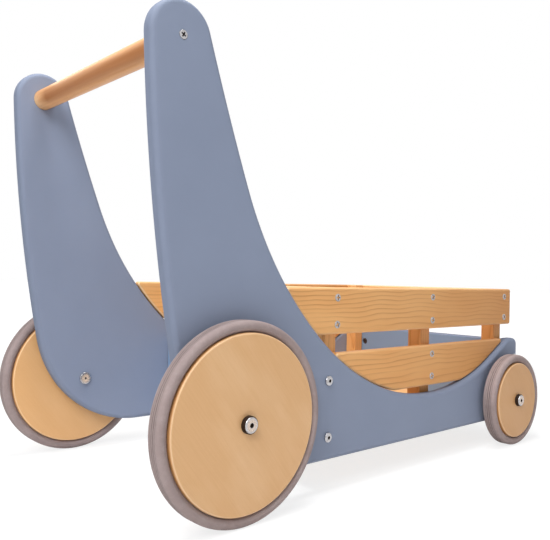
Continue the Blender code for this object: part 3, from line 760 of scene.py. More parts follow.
def rounded(radius: float, height: float, size: float, start: float, steps: int) -> Pairs:
    """A quarter round of a turned section: radii and heights about a centre, running left from an angle."""
    angles = [start + math.pi / 2 * i / steps for i in range(steps + 1)]
    return [(radius + size * math.cos(a), height + size * math.sin(a)) for a in angles]


def turn_to(shape: Shape, way: Vector, place: Vector) -> None:
    """Turns a mesh's +Z to a direction and moves it to a place."""
    turn = way.to_track_quat("Z", "Y").to_matrix().to_4x4()
    bmesh.ops.transform(shape, matrix=Matrix.Translation(place) @ turn, verts=shape.verts)


def face_point(node: str, way: Vector, depth: float = 0.0) -> Vector:
    """The middle of one face, or of one edge, of a node's box, or a point under it.

    Args:
        node: The CAD node.
        way: The way that the face looks. It has no length along an axis whose middle is wanted.
        depth: How far under the face the point lies.

    Returns:
        The point.
    """
    low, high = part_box(node)
    found = [b if w > 0 else a if w < 0 else (a + b) / 2 for a, b, w in zip(low, high, way)]
    return Vector(found) - way * depth


@dataclass
class Plate:
    """A flat piece cut to an outline, with rounded arrises."""

    outline: Outline
    low: float
    high: float
    edge: float
    plane: Plane
    steps: int = 4
    rim: float = 0.3 * MM

    @classmethod
    def box(cls, node: str, edge: float, plane: Plane) -> "Plate":
        """A rectangular plate.

        Args:
            node: The CAD node whose box it fills.
            edge: The radius of its arrises.
            plane: The plane that it lies in.

        Returns:
            The plate.
        """
        low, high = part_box(node)
        width, height, depth = plane.value
        corners = (Vector((corner[width], corner[height])) for corner in (low, high))
        return cls(rectangle(*corners, edge + CORNER_ROOM), low[depth], high[depth], edge, plane)

    def shape(self) -> Shape:
        """Builds the plate.

        Returns:
            A closed mesh that knows its arrises and its sawn sides.
        """
        outline, edge = self.outline, self.edge
        area = sum(a.x * b.y - b.x * a.y for a, b in zip(outline, outline[1:] + outline[:1]))
        if area < 0:
            outline = outline[::-1]
        turns = [math.pi / 2 * i / self.steps for i in range(self.steps + 1)]
        rows = [(edge + self.rim, 0.0, 0.0)]
        rows += [(edge * (1 - math.sin(t)), edge * (1 - math.cos(t)), t) for t in turns]
        rows = [(i, self.low + d, t) for i, d, t in rows] + [(i, self.high - d, t) for i, d, t in rows[::-1]]
        made = bmesh.new()
        arris = made.verts.layers.float.new("arris")
        side = made.verts.layers.float.new("side")
        loops = []
        for amount, depth, turn in rows:
            loops.append([made.verts.new(self.plane.point(p.x, p.y, depth)) for p in inset(outline, amount)])
            for vert in loops[-1]:
                vert[arris], vert[side] = math.sin(2 * turn), math.sin(turn)
        return skin(made, loops)


class Drive(Enum):
    """The recess in a fastener's head: the angle after which it repeats, and half of an arm's or a flat's."""

    HEX = (math.pi / 3, math.pi / 6)
    CROSS = (math.pi / 2, math.radians(15.0))
    SLOT = (math.pi, math.radians(7.5))

    def reach(self, angle: float, size: float) -> float:
        """The recess's radius at an angle.

        Args:
            angle: The angle round the head.
            size: The radius of its corners or of its arms' ends.

        Returns:
            How far the recess reaches there.
        """
        period, arm = self.value
        if self is Drive.HEX:
            return size * math.cos(arm) / math.cos(angle % period - arm)
        off = abs((angle + period / 2) % period - period / 2)
        if off <= arm + 1e-6:
            return size / math.cos(off)
        return size * math.tan(arm) / math.sin(off)


@dataclass(frozen=True)
class Head:
    """A fastener with its head's top on +Z: a rounded rim, a recess, and a shank below.

    The taper is the share of a countersink that is straight, and the land is what the flat round the key
    makes of the key's width.
    """

    radius: float
    height: float
    rim: float
    drive: Drive
    key: float
    key_depth: float
    shank: float
    length: float
    crown: float = 0.0
    sunk: float = 0.0
    tarnish_and_shade: float = 0.0
    beige_share: float = 0.0
    facets: int = 48
    taper: float = 0.98
    land: float = 1.12
    key_lip: float = 0.1 * MM

    @property
    def top(self) -> float:
        """Height of the head over its underside."""
        return self.height + self.crown

    def shape(self) -> Shape:
        """Builds the fastener.

        Returns:
            A closed mesh, with the underside of the head at the origin.
        """
        neck, inner = self.radius - self.shank, self.key * self.land
        rings = [(self.shank, -self.length), (self.shank, -self.sunk * self.taper)]
        if self.sunk:
            rings.append((self.shank + neck * self.taper, -(1 - self.taper) * self.sunk))
        rings.append((self.radius, 0.0))
        rings += rounded(self.radius - self.rim, self.height - self.rim, self.rim, 0.0, 4)
        rings += [((self.radius - self.rim + inner) / 2, self.height + 0.75 * self.crown), (inner, self.top)]
        made = bmesh.new()
        recess = made.verts.layers.float.new("recess")
        ripe = made.verts.layers.float.new("ripe")
        loops = [ring(made, [radius] * self.facets, height) for radius, height in rings]
        for vert in made.verts:
            # a dull darkening over the whole head, which on the barrel nuts is painted shade in their holes
            vert[recess] = self.tarnish_and_shade
            vert[ripe] = self.beige_share * (math.hypot(vert.co.x, vert.co.y) < 0.8 * self.radius)
        angles = [math.tau * i / self.facets for i in range(self.facets)]
        # the recess's mouth, the top of its wall and its floor: size, depth and darkness, a painted shade in
        # the recess
        steps = ((1.0, 0.0, self.tarnish_and_shade), (0.98, self.key_lip, 1.0), (0.8, self.key_depth, 1.0))
        for share, sunk, dark in steps:
            reaches = [self.drive.reach(angle, self.key * share) for angle in angles]
            loops.append(ring(made, reaches, self.top - sunk))
            for vert in loops[-1]:
                vert[recess] = dark
        return skin(made, loops)


def add_object(name: str, data: bpy.types.ID) -> Item:
    """Puts new data into the scene.

    Args:
        name: The object's name.
        data: Its mesh, camera or lamp.

    Returns:
        The object.
    """
    made = bpy.data.objects.new(name, data)
    bpy.context.scene.collection.objects.link(made)
    return made


def loose(name: str, shape: Shape) -> Item:
    """An object that is smooth except at its sharp edges.

    Args:
        name: Its name.
        shape: Its mesh, which is used up.

    Returns:
        The object.
    """
    mesh = bpy.data.meshes.new(name)
    shape.to_mesh(mesh)
    shape.free()
    mesh.shade_smooth()
    mesh.set_sharp_from_angle(angle=SMOOTH_BELOW)
    return add_object(name, mesh)


def settle(made: Item, stock: Stock, nodes: Iterable[str], body: str = FRAME_BODY) -> None:
    """Makes a finished object a piece of the walker.

    Args:
        made: The object, with its place in its mesh.
        stock: Its finish.
        nodes: The CAD nodes that it stands for.
        body: The body that it rides on.
    """
    made.data.materials.clear()
    made.data.materials.append(stock.material)
    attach(made, body)
    names = list(nodes)
    if names:
        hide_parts(*names)
    LOG.info("%s rides on %s: %d faces", made.name, body, len(made.data.polygons))


def bake(target: Item) -> None:
    """Turns an object's modifiers into a plain mesh.

    Args:
        target: The object.
    """
    bpy.context.view_layer.update()
    graph = bpy.context.evaluated_depsgraph_get()
    baked = bpy.data.meshes.new_from_object(target.evaluated_get(graph))
    target.modifiers.clear()
    old, target.data = target.data, baked
    baked.name = target.name
    bpy.data.meshes.remove(old)
    baked.set_sharp_from_angle(angle=SMOOTH_BELOW)


def bore(target: Item, cutters: Sequence[Item]) -> None:
    """Takes shapes out of an object's mesh.

    Args:
        target: The object.
        cutters: The shapes, which are used up.
    """
    for cutter in cutters:
        cut = target.modifiers.new("bore", "BOOLEAN")
        cut.operation = "DIFFERENCE"
        cut.solver = "EXACT"
        cut.object = cutter
    bake(target)
    for cutter in cutters:
        bpy.data.objects.remove(cutter)


def rod(start: Vector, end: Vector, radius: float, mouth: float = 0.0, facets: int = 48) -> Item:
    """A round cutter.

    Args:
        start: The point where it starts.
        end: The point where it ends.
        radius: Its radius.
        mouth: How much wider it is at its start.
        facets: How many facets go round.

    Returns:
        The cutter.
    """
    steps = [(radius + mouth, 0.0)] + ([(radius, mouth)] if mouth else []) + [(radius, (end - start).length)]
    shape = turned(steps, facets)
    turn_to(shape, end - start, start)
    return loose("cutter", shape)


def block(low: Vector, high: Vector) -> Item:
    """A box cutter.

    Args:
        low: Its lowest corner.
        high: Its highest corner.

    Returns:
        The cutter.
    """
    shape = bmesh.new()
    bmesh.ops.create_cube(shape, size=1.0)
    bmesh.ops.scale(shape, vec=high - low, verts=shape.verts)
    bmesh.ops.translate(shape, vec=(low + high) / 2, verts=shape.verts)
    return loose("cutter", shape)


class Tree:
    """A Geometry Nodes tree with named inputs."""

    def __init__(self, name: str, inputs: dict[str, str]) -> None:
        """Makes the tree's sockets.

        Args:
            name: The tree's name.
            inputs: Each input's name and type, between the geometry and the finish.
        """
        self.tree = bpy.data.node_groups.new(name, "GeometryNodeTree")
        self.sheet = Sheet(self.tree)
        sockets = self.tree.interface
        for way in ("INPUT", "OUTPUT"):
            sockets.new_socket("Geometry", in_out=way, socket_type="NodeSocketGeometry")
        self.keys = {}
        for label, kind in (inputs | {"Finish": "Material"}).items():
            made = sockets.new_socket(label, in_out="INPUT", socket_type=f"NodeSocket{kind}")
            self.keys[label] = made.identifier
        self.entry = self.sheet.node("NodeGroupInput").socket.node

    def given(self, label: str) -> Signal:
        """One of the tree's inputs."""
        return Signal(self.sheet, self.entry.outputs[label])

    def close(self, geometry: Signal) -> None:
        """Realizes the instances, sets the finish and ends the tree.

        Args:
            geometry: What the tree has made.
        """
        finish = {"Material": self.given("Finish")}
        for kind, extra in (("RealizeInstances", {}), ("SetShadeSmooth", {}), ("SetMaterial", finish)):
            geometry = self.sheet.node(f"GeometryNode{kind}", {}, {"Geometry": geometry, **extra})
        self.sheet.node("NodeGroupOutput", {}, {"Geometry": geometry})

    def grow(self, target: Item, stock: Stock, values: dict[str, object]) -> None:
        """Runs the tree on an object and leaves a plain mesh.

        Args:
            target: The object.
            stock: Its finish.
            values: The tree's inputs.
        """
        modifier = target.modifiers.new(self.tree.name, "NODES")
        modifier.node_group = self.tree
        for label, value in (values | {"Finish": stock.material}).items():
            modifier[self.keys[label]] = value
        bake(target)


class FastenerTree(Tree):
    """Sets one fastener on every point, along the point's axis and turned by chance."""

    def __init__(self) -> None:
        """Lays the tree's nodes."""
        super().__init__("fastener_row", {"Fastener": "Object", "Seed": "Int"})
        lay, given = self.sheet.node, self.given
        axis = lay("GeometryNodeInputNamedAttribute", {"data_type": "FLOAT_VECTOR"}, {"Name": "axis"})
        aligned = lay("FunctionNodeAlignRotationToVector", {"axis": "Z"}, {"Vector": axis})
        turns = {2: 0.0, 3: math.tau, 8: given("Seed")}
        chance = lay("FunctionNodeRandomValue", {"data_type": "FLOAT"}, turns, 1)
        spin = lay("FunctionNodeAxisAngleToRotation", {}, {"Axis": (0, 0, 1), "Angle": chance})
        both = {"Rotation": aligned, "Rotate By": spin}
        turn = lay("FunctionNodeRotateRotation", {"rotation_space": "LOCAL"}, both)
        fastener = lay("GeometryNodeObjectInfo", {}, {"Object": given("Fastener")}, "Geometry")
        placed = {"Points": given("Geometry"), "Instance": fastener, "Rotation": turn}
        self.close(lay("GeometryNodeInstanceOnPoints", {}, placed))


class TyreTree(Tree):
    """Sweeps the section of a tyre round its wheel, and sets it on the axle."""

    def __init__(self) -> None:
        """Lays the tree's nodes."""
        super().__init__("tyre_sweep", {"Radius": "Float", "Facets": "Int", "Centre": "Vector"})
        lay, given = self.sheet.node, self.given
        section = lay("GeometryNodeMeshToCurve", {}, {"Mesh": given("Geometry")})
        circle = {"Resolution": given("Facets"), "Radius": given("Radius")}
        path = lay("GeometryNodeCurvePrimitiveCircle", {}, circle)
        level = lay("GeometryNodeSetCurveNormal", {"mode": "Z_UP"}, {"Curve": path})
        swept = lay("GeometryNodeCurveToMesh", {}, {"Curve": level, "Profile Curve": section})
        placed = {"Geometry": swept, "Translation": given("Centre"), "Rotation": (math.pi / 2, 0.0, 0.0)}
        self.close(lay("GeometryNodeTransform", {}, placed))


@dataclass
class FastenerSet:
    """All fasteners of one kind, as points with an axis each."""

    name: str
    head: Head
    seed: int
    stock: Stock = Stock.NICKEL
    spots: list[tuple[Vector, Vector]] = field(default_factory=list)
    nodes: list[str] = field(default_factory=list)

    def add(self, place: Vector, axis: Vector, *nodes: str) -> None:
        """Sets out one fastener by its head's underside and axis, with the nodes that it stands for."""
        self.spots.append((place, axis))
        self.nodes += nodes

    def build(self, tree: FastenerTree) -> None:
        """Makes the whole set as one piece.

        Args:
            tree: The tree that sets the fasteners.
        """
        pattern = loose(f"{self.name}_pattern", self.head.shape())
        mesh = bpy.data.meshes.new(self.name)
        mesh.from_pydata([place for place, _ in self.spots], [], [])
        axis = mesh.attributes.new("axis", "FLOAT_VECTOR", "POINT")
        for held, (_, way) in zip(axis.data, self.spots):
            held.vector = way
        made = add_object(self.name, mesh)
        tree.grow(made, self.stock, {"Fastener": pattern, "Seed": self.seed})
        bpy.data.objects.remove(pattern)
        settle(made, self.stock, self.nodes)


@dataclass(frozen=True)
class PanelShape:
    """The side panel's tangent arcs in the XZ plane, and the slat ends that follow them."""

    rear_axle: float = -229.75 * MM
    nose: float = 303.75 * MM
    nose_height: float = 145.5 * MM
    nose_flat: float = 25.0 * MM
    nose_rise: float = math.radians(29.0)
    nose_blend: float = 20.0 * MM
    nose_corner: float = 9.0 * MM
    toe: float = 14.0 * MM
    clearance: float = 33.0 * MM
    handle_x: float = -291.75 * MM
    handle_height: float = 436.0 * MM
    dome_radius: float = 32.3 * MM
    rear_radius: float = 1951.0 * MM
    heel_radius: float = 139.5 * MM
    heel_ahead: float = 78.0 * MM
    front_radius: float = 2568.0 * MM
    sweep_opening: float = 1.47
    sweep_lean: float = math.radians(51.4)
    basin_radius: float = 300.5 * MM
    basin_low: float = 85.3 * MM
    long_chord: float = 12.0 * MM
    sweep_chord: float = 8.0 * MM
    dome_chord: float = 3.0 * MM
    slat_margin: float = 0.7 * MM
    top_slat_corner: float = 7.0 * MM
    lower_slat_corner: float = 30.0 * MM

    @property
    def dome(self) -> Vector:
        """Centre of the round top, where the handle goes."""
        return Vector((self.handle_x, self.handle_height))

    @property
    def heel(self) -> Vector:
        """Centre of the round heel behind the rear wheel."""
        return Vector((self.rear_axle + self.heel_ahead, self.clearance + self.heel_radius))

    @property
    def rise_top(self) -> Vector:
        """Where the straight rise meets the flat of the nose."""
        return Vector((self.nose - self.nose_flat, self.nose_height))

    @property
    def basin(self) -> Vector:
        """Centre of the hollow that holds the crate, tangent to the rise."""
        height = self.basin_low + self.basin_radius
        drop = (height - self.nose_height) * math.cos(self.nose_rise) - self.basin_radius
        return Vector((self.rise_top.x + drop / math.sin(self.nose_rise), height))

    @property
    def rear(self) -> Vector:
        """Centre of the long rear edge."""
        radius = self.rear_radius
        return self.crossing(self.heel, radius - self.heel_radius, self.dome, radius - self.dome_radius)

    @property
    def sweep_radius(self) -> float:
        """Radius of the sweep, which opens out from the hollow towards the handle."""
        gap = (self.basin - self.dome).length - self.dome_radius - self.basin_radius
        return self.basin_radius + self.sweep_opening * gap

    @property
    def sweep(self) -> Vector:
        """Centre of the sweep between the front edge and the hollow."""
        lean = Vector((math.cos(self.sweep_lean), math.sin(self.sweep_lean)))
        return self.basin + lean * (self.sweep_radius - self.basin_radius)

    @property
    def front(self) -> Vector:
        """Centre of the long front edge under the handle."""
        radius = self.front_radius
        return self.crossing(self.sweep, radius - self.sweep_radius, self.dome, radius + self.dome_radius)

    @staticmethod
    def crossing(first: Vector, first_radius: float, second: Vector, second_radius: float) -> Vector:
        """The crossing of two circles on the right of the way from one to the other.

        Args:
            first: The first circle's centre.
            first_radius: Its radius.
            second: The second circle's centre.
            second_radius: Its radius.

        Returns:
            The crossing.
        """
        way = second - first
        along = (way.length_squared + first_radius**2 - second_radius**2) / (2 * way.length)
        across = math.sqrt(first_radius**2 - along**2)
        ahead = way.normalized()
        return first + ahead * along - Vector((-ahead.y, ahead.x)) * across

    def outline(self) -> Outline:
        """The panel's closed outline.

        Returns:
            Points along the heel, rear edge, dome, front edge, sweep, hollow and nose.
        """
        low, half = 1.5 * math.pi, math.pi
        rear, front, sweep, basin = self.rear, self.front, self.sweep, self.basin
        rear_heel, rear_dome = heading(rear, self.heel), heading(rear, self.dome)
        front_dome, front_sweep = heading(front, self.dome), heading(front, sweep)
        sweep_basin = heading(sweep, basin)
        points = arc(self.heel, self.heel_radius, low, rear_heel)
        points += arc(rear, self.rear_radius, rear_heel, rear_dome, self.long_chord)[1:]
        points += arc(self.dome, self.dome_radius, rear_dome, front_dome - half, self.dome_chord)[1:]
        points += arc(front, self.front_radius, front_dome, front_sweep, self.long_chord)[1:]
        points += arc(sweep, self.sweep_radius, front_sweep, sweep_basin, self.sweep_chord)[1:]
        points += arc(basin, self.basin_radius, sweep_basin, low + self.nose_rise)[1:]
        nose_top, toe = Vector((self.nose, self.nose_height)), Vector((self.nose, self.clearance))
        points += fillet(points[-1], self.rise_top, nose_top, self.nose_blend)
        points += fillet(self.rise_top, nose_top, toe, self.nose_corner)
        points += fillet(nose_top, toe, points[0], self.toe)
        return points

    def rear_edge(self, height: float) -> float:
        """Where the slats' rear ends are, a margin ahead of the panel's hollow edge.

        Args:
            height: The height over the ground.

        Returns:
            The X at that height.
        """
        margin, basin, sweep = self.slat_margin, self.basin, self.sweep
        joint = basin + (basin - sweep).normalized() * (self.basin_radius - margin)
        centre, radius = (sweep, self.sweep_radius) if height > joint.y else (basin, self.basin_radius)
        return centre.x - math.sqrt((radius - margin) ** 2 - (height - centre.y) ** 2)

    def rear_end(self, low: float, high: float, steps: int) -> Outline:
        """Points up the curved rear end of a slat, from one height to another."""
        heights = [low + (high - low) * i / steps for i in range(steps + 1)]
        return [Vector((self.rear_edge(z), z)) for z in heights]

    def top_slat(self, low: float, high: float, front: float, corner: float) -> Outline:
        """A top slat's outline: a curved rear end and a square front one.

        Args:
            low: Its lower edge's height.
            high: Its upper edge's height.
            front: Where it ends in front.
            corner: The radius of its corners.

        Returns:
            Its points in order.
        """
        end = self.rear_end(low, high, 12)
        front_low, front_high = Vector((front, low)), Vector((front, high))
        points = fillet(front_low, end[0], end[3], self.top_slat_corner) + end[3:-2]
        points += fillet(end[-3], end[-1], front_high, corner)
        points += fillet(end[-1], front_high, front_low, corner)
        points += fillet(front_high, front_low, end[0], corner)
        return points

    def lower_slat(self, low: float, high: float, corner: float) -> Outline:
        """A lower slat's outline: both ends follow the hollow.

        Args:
            low: Its lower edge's height.
            high: Its upper edge's height.
            corner: The radius of its upper corners.

        Returns:
            Its points in order.
        """
        end = self.rear_end(low, high, 16)
        basin, inner = self.basin, self.basin_radius - self.slat_margin
        tip = math.asin((basin.y - low) / inner)
        front = arc(basin, inner, -tip, self.nose_rise - math.pi / 2)
        top_front = Vector((front[-1].x + (high - front[-1].y) / math.tan(self.nose_rise), high))
        points = fillet(front[0], end[0], end[3], self.lower_slat_corner) + end[3:-2]
        points += fillet(end[-3], end[-1], top_front, corner)
        points += fillet(end[-1], top_front, front[-1], corner)
        points += front[:1:-1]
        points += fillet(front[2], front[0], end[0], self.lower_slat_corner)
        return points


@dataclass
class Panels:
    """The two painted side panels, with their sockets and holes."""

    shape: PanelShape = PanelShape()
    edge: float = 5.0 * MM
    steps: int = 6
    rim: float = 0.7 * MM
    handle_radius: float = 12.2 * MM
    socket_gap: float = 0.3 * MM
    screw_hole: float = 2.3 * MM
    screw_mouth: float = 2.2 * MM
    screw_proud: float = 0.05 * MM
    axle_hole: float = 4.3 * MM
    bolt_hole: float = 3.3 * MM
    overrun: float = 1.0 * MM

    def build(self) -> None:
        """Makes both panels."""
        for side in SIDES:
            node = f"{side}_side_panel"
            low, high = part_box(node)
            plate = Plate(self.shape.outline(), low.y, high.y, self.edge, Plane.SIDE, self.steps, self.rim)
            made = loose(f"{side}_panel", plate.shape())
            bore(made, self.cutters(side))
            settle(made, Stock.PAINT, [node])

    def cutters(self, side: str) -> list[Item]:
        """The handle's socket, the sunk screw, the axles' holes and the bolts' holes.

        Args:
            side: The panel's side.

        Returns:
            A cutter for each.
        """
        sign = SIDES[side]
        inner, outer = (face_point(f"{side}_side_panel", LEFT * way).y for way in (-sign, sign))
        past = sign * self.overrun
        x, z = self.shape.handle_x, self.shape.handle_height
        bottom = face_point("handle_bar", LEFT * sign).y + sign * self.socket_gap
        socket, top, tip = (
            Vector((x, y, z)) for y in (inner - past, outer + sign * self.screw_proud, bottom - past)
        )
        found = [
            rod(socket, Vector((x, bottom, z)), self.handle_radius),
            rod(top, tip, self.screw_hole, self.screw_mouth),
        ]
        holes = [(f"{end}_{side}_tyre", self.axle_hole) for end in ENDS]
        holes += [(f"{end}_{side}_{level}_bolt", self.bolt_hole) for end in ENDS for level in LEVELS]
        for node, radius in holes:
            middle = face_point(node, Vector())
            start, end = (Vector((middle.x, y, middle.z)) for y in (outer + past, inner - past))
            found.append(rod(start, end, radius))
        return found


@dataclass
class Handle:
    """The dowel handle, with a painted shade along its back and a painted highlight at its left end."""

    edge: float = 1.2 * MM
    facets: int = 72
    pith: tuple[float, float] = (31.0 * MM, 17.0 * MM)
    start: float = 0.4
    # the way that the painted shade faces: rearwards and a little down
    painted_shade: Vector = field(default_factory=lambda: Vector((-0.94, 0.0, -0.34)))
    shade_edge: float = 0.62
    left_highlight: float = -1.1
    left_start: float = 0.8

    def build(self) -> None:
        """Makes the bar, with its grain along it."""
        low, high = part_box("handle_bar")
        middle, radius, half = (low + high) / 2, (high.z - low.z) / 2, (high.y - low.y) / 2
        end = rounded(radius - self.edge, half - self.edge, self.edge, 0.0, 3)
        between = [(radius, half * i / 4) for i in range(-3, 4)]
        shape = turned([(r, -z) for r, z in end[::-1]] + between + end, self.facets)
        turn_to(shape, LEFT, middle)
        Grain(LEFT, FORWARD, *self.pith, self.start).lay(shape)
        ripe = shape.verts.layers.float["ripe"]
        # painted shade on the side that faces the rear; at the left end the value goes below 0, a painted
        # highlight
        for vert in shape.verts:
            facing = (vert.co - middle).dot(self.painted_shade) / radius
            shaded_and_lit = self.left_highlight if vert.co.y > middle.y + self.left_start * half else 1.0
            vert[ripe] = shaded_and_lit * max(0.0, facing - self.shade_edge) / (1.0 - self.shade_edge)
        settle(loose("handle_dowel", shape), Stock.DOWEL, ["handle_bar"])


@dataclass
class Crate:
    """The slatted crate: posts, slats, painted boards and floor. Each plank has its own place in a log."""

    panel: PanelShape = PanelShape()
    slat_edge: float = 2.6 * MM
    # the slats darken from rear to front: painted shade of the light falling off towards the front
    slat_shade: tuple[float, float] = (-0.1, 0.7)
    face_arris: float = 0.3
    end_arris: float = 1.3
    post_edge: float = 1.5 * MM
    board_edge: float = 1.8 * MM
    board_cool: float = 0.9
    floor_edge: float = 0.8 * MM
    floor_ripe: float = -0.8
    nut_hole: float = 5.3 * MM
    relief: float = 1.0 * MM
    gap: float = 0.3 * MM

    def build(self) -> None:
        """Makes every piece of the crate."""
        self.build_posts()
        self.build_side_slats()
        self.build_end_slats()
        self.build_boards()
        self.build_floor()

    def build_posts(self) -> None:
        """The six posts. The front ones are hollowed for the axle bolts' heads."""
        for i, place in enumerate(POSTS):
            for side, sign in SIDES.items():
                node = f"{place}_{side}_post"
                made = loose(f"{place}_{side}_crate_post", Plate.box(node, self.post_edge, Plane.TOP).shape())
                if place == "front":
                    bore(made, [self.bolt_relief(side)])
                # painted shade: the middle and front posts on the right, the near side, are darkened; the
                # left ones barely, the rear ones not
                start, ripe = 0.31 * i + 0.17 * sign, 0.28 - 0.22 * sign if i else 0.0
                pith = (30 + 7 * i) * MM, (26 - 5 * i) * MM
                Grain(UP, FORWARD * sign, *pith, start, (ripe, ripe)).lay_on(made)
                settle(made, Stock.PINE, [node])

    def bolt_relief(self, side: str) -> Item:
        """The cutter that keeps a front post clear of an axle bolt's head.

        Args:
            side: The post's side.

        Returns:
            The cutter.
        """
        low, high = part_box(f"front_{side}_axle_bolt")
        middle, radius = (low + high) / 2, (high.z - low.z) / 2
        near, far = sorted((abs(low.y), abs(high.y)))
        start, end = (Vector((middle.x, SIDES[side] * y, middle.z)) for y in (near - self.relief, far))
        return rod(start, end, radius + self.relief)

    def build_side_slats(self) -> None:
        """The two slats on each side, cut to follow the panel's hollow."""
        corner = self.slat_edge + CORNER_ROOM
        for side, sign in SIDES.items():
            for i, level in enumerate(("top", "lower")):
                node = f"{side}_{level}_slat"
                low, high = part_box(node)
                if level == "top":
                    outline = self.panel.top_slat(low.z, high.z, high.x, corner)
                else:
                    outline = self.panel.lower_slat(low.z, high.z, corner)
                shape = Plate(outline, low.y, high.y, self.slat_edge, Plane.SIDE).shape()
                arris = shape.verts.layers.float["arris"]
                shape.normal_update()
                # the arrises of the slats' end faces are made paler than the rest: partly a sanded edge,
                # partly a painted highlight on edges in shade
                for vert in shape.verts:
                    vert[arris] *= self.face_arris + self.end_arris * abs(vert.normal.x)
                pith = (66 - 9 * i) * MM, (47 + 8 * i) * MM * sign
                Grain(FORWARD, UP, *pith, 0.43 * i + 0.9 * (sign > 0), self.slat_shade).lay(shape)
                settle(loose(f"{side}_{level}_crate_slat", shape), Stock.PINE, [node])

    def build_end_slats(self) -> None:
        """The top slats across the front and the rear."""
        for i, end in enumerate(ENDS):
            node = f"{end}_top_slat"
            shape = Plate.box(node, self.slat_edge, Plane.FRONT).shape()
            Grain(LEFT, UP, 58 * MM, (50 - 16 * i) * MM, 1.7 + 0.4 * i).lay(shape)
            settle(loose(f"{end}_crate_slat", shape), Stock.PINE, [node])

    def build_boards(self) -> None:
        """The painted boards, with the floor's groove and the barrel nuts' holes."""
        floor_low, floor_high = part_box("floor_board")
        room = Vector((1, 10, 1)) * self.gap
        for end in ENDS:
            node, inward = f"{end}_board", FORWARD * INWARD[end]
            made = loose(f"{end}_crate_board", Plate.box(node, self.board_edge, Plane.FRONT).shape())
            mouth = face_point(node, inward).x + INWARD[end] * MM
            cutters = [block(floor_low - room, floor_high + room)]
            for side in SIDES:
                for level in LEVELS:
                    bottom = face_point(f"{end}_{side}_{level}_barrel_nut", -inward, -self.gap)
                    cutters.append(rod(Vector((mouth, bottom.y, bottom.z)), bottom, self.nut_hole))
            bore(made, cutters)
            Grain(LEFT, UP, ripe=(self.board_cool, self.board_cool)).lay_on(made)
            settle(made, Stock.PAINT, [node])

    def build_floor(self) -> None:
        """The plywood floor in the boards' grooves."""
        shape = Plate.box("floor_board", self.floor_edge, Plane.TOP).shape()
        Grain(FORWARD, LEFT, 200 * MM, 0.0, 2.1, (self.floor_ripe, self.floor_ripe)).lay(shape)
        settle(loose("crate_floor", shape), Stock.BIRCH, ["floor_board"])


@dataclass(frozen=True)
class Span:
    """Where a node lies on its axle: its inner end, that end's distance from the middle, and its size."""

    place: Vector
    inner: float
    length: float
    radius: float


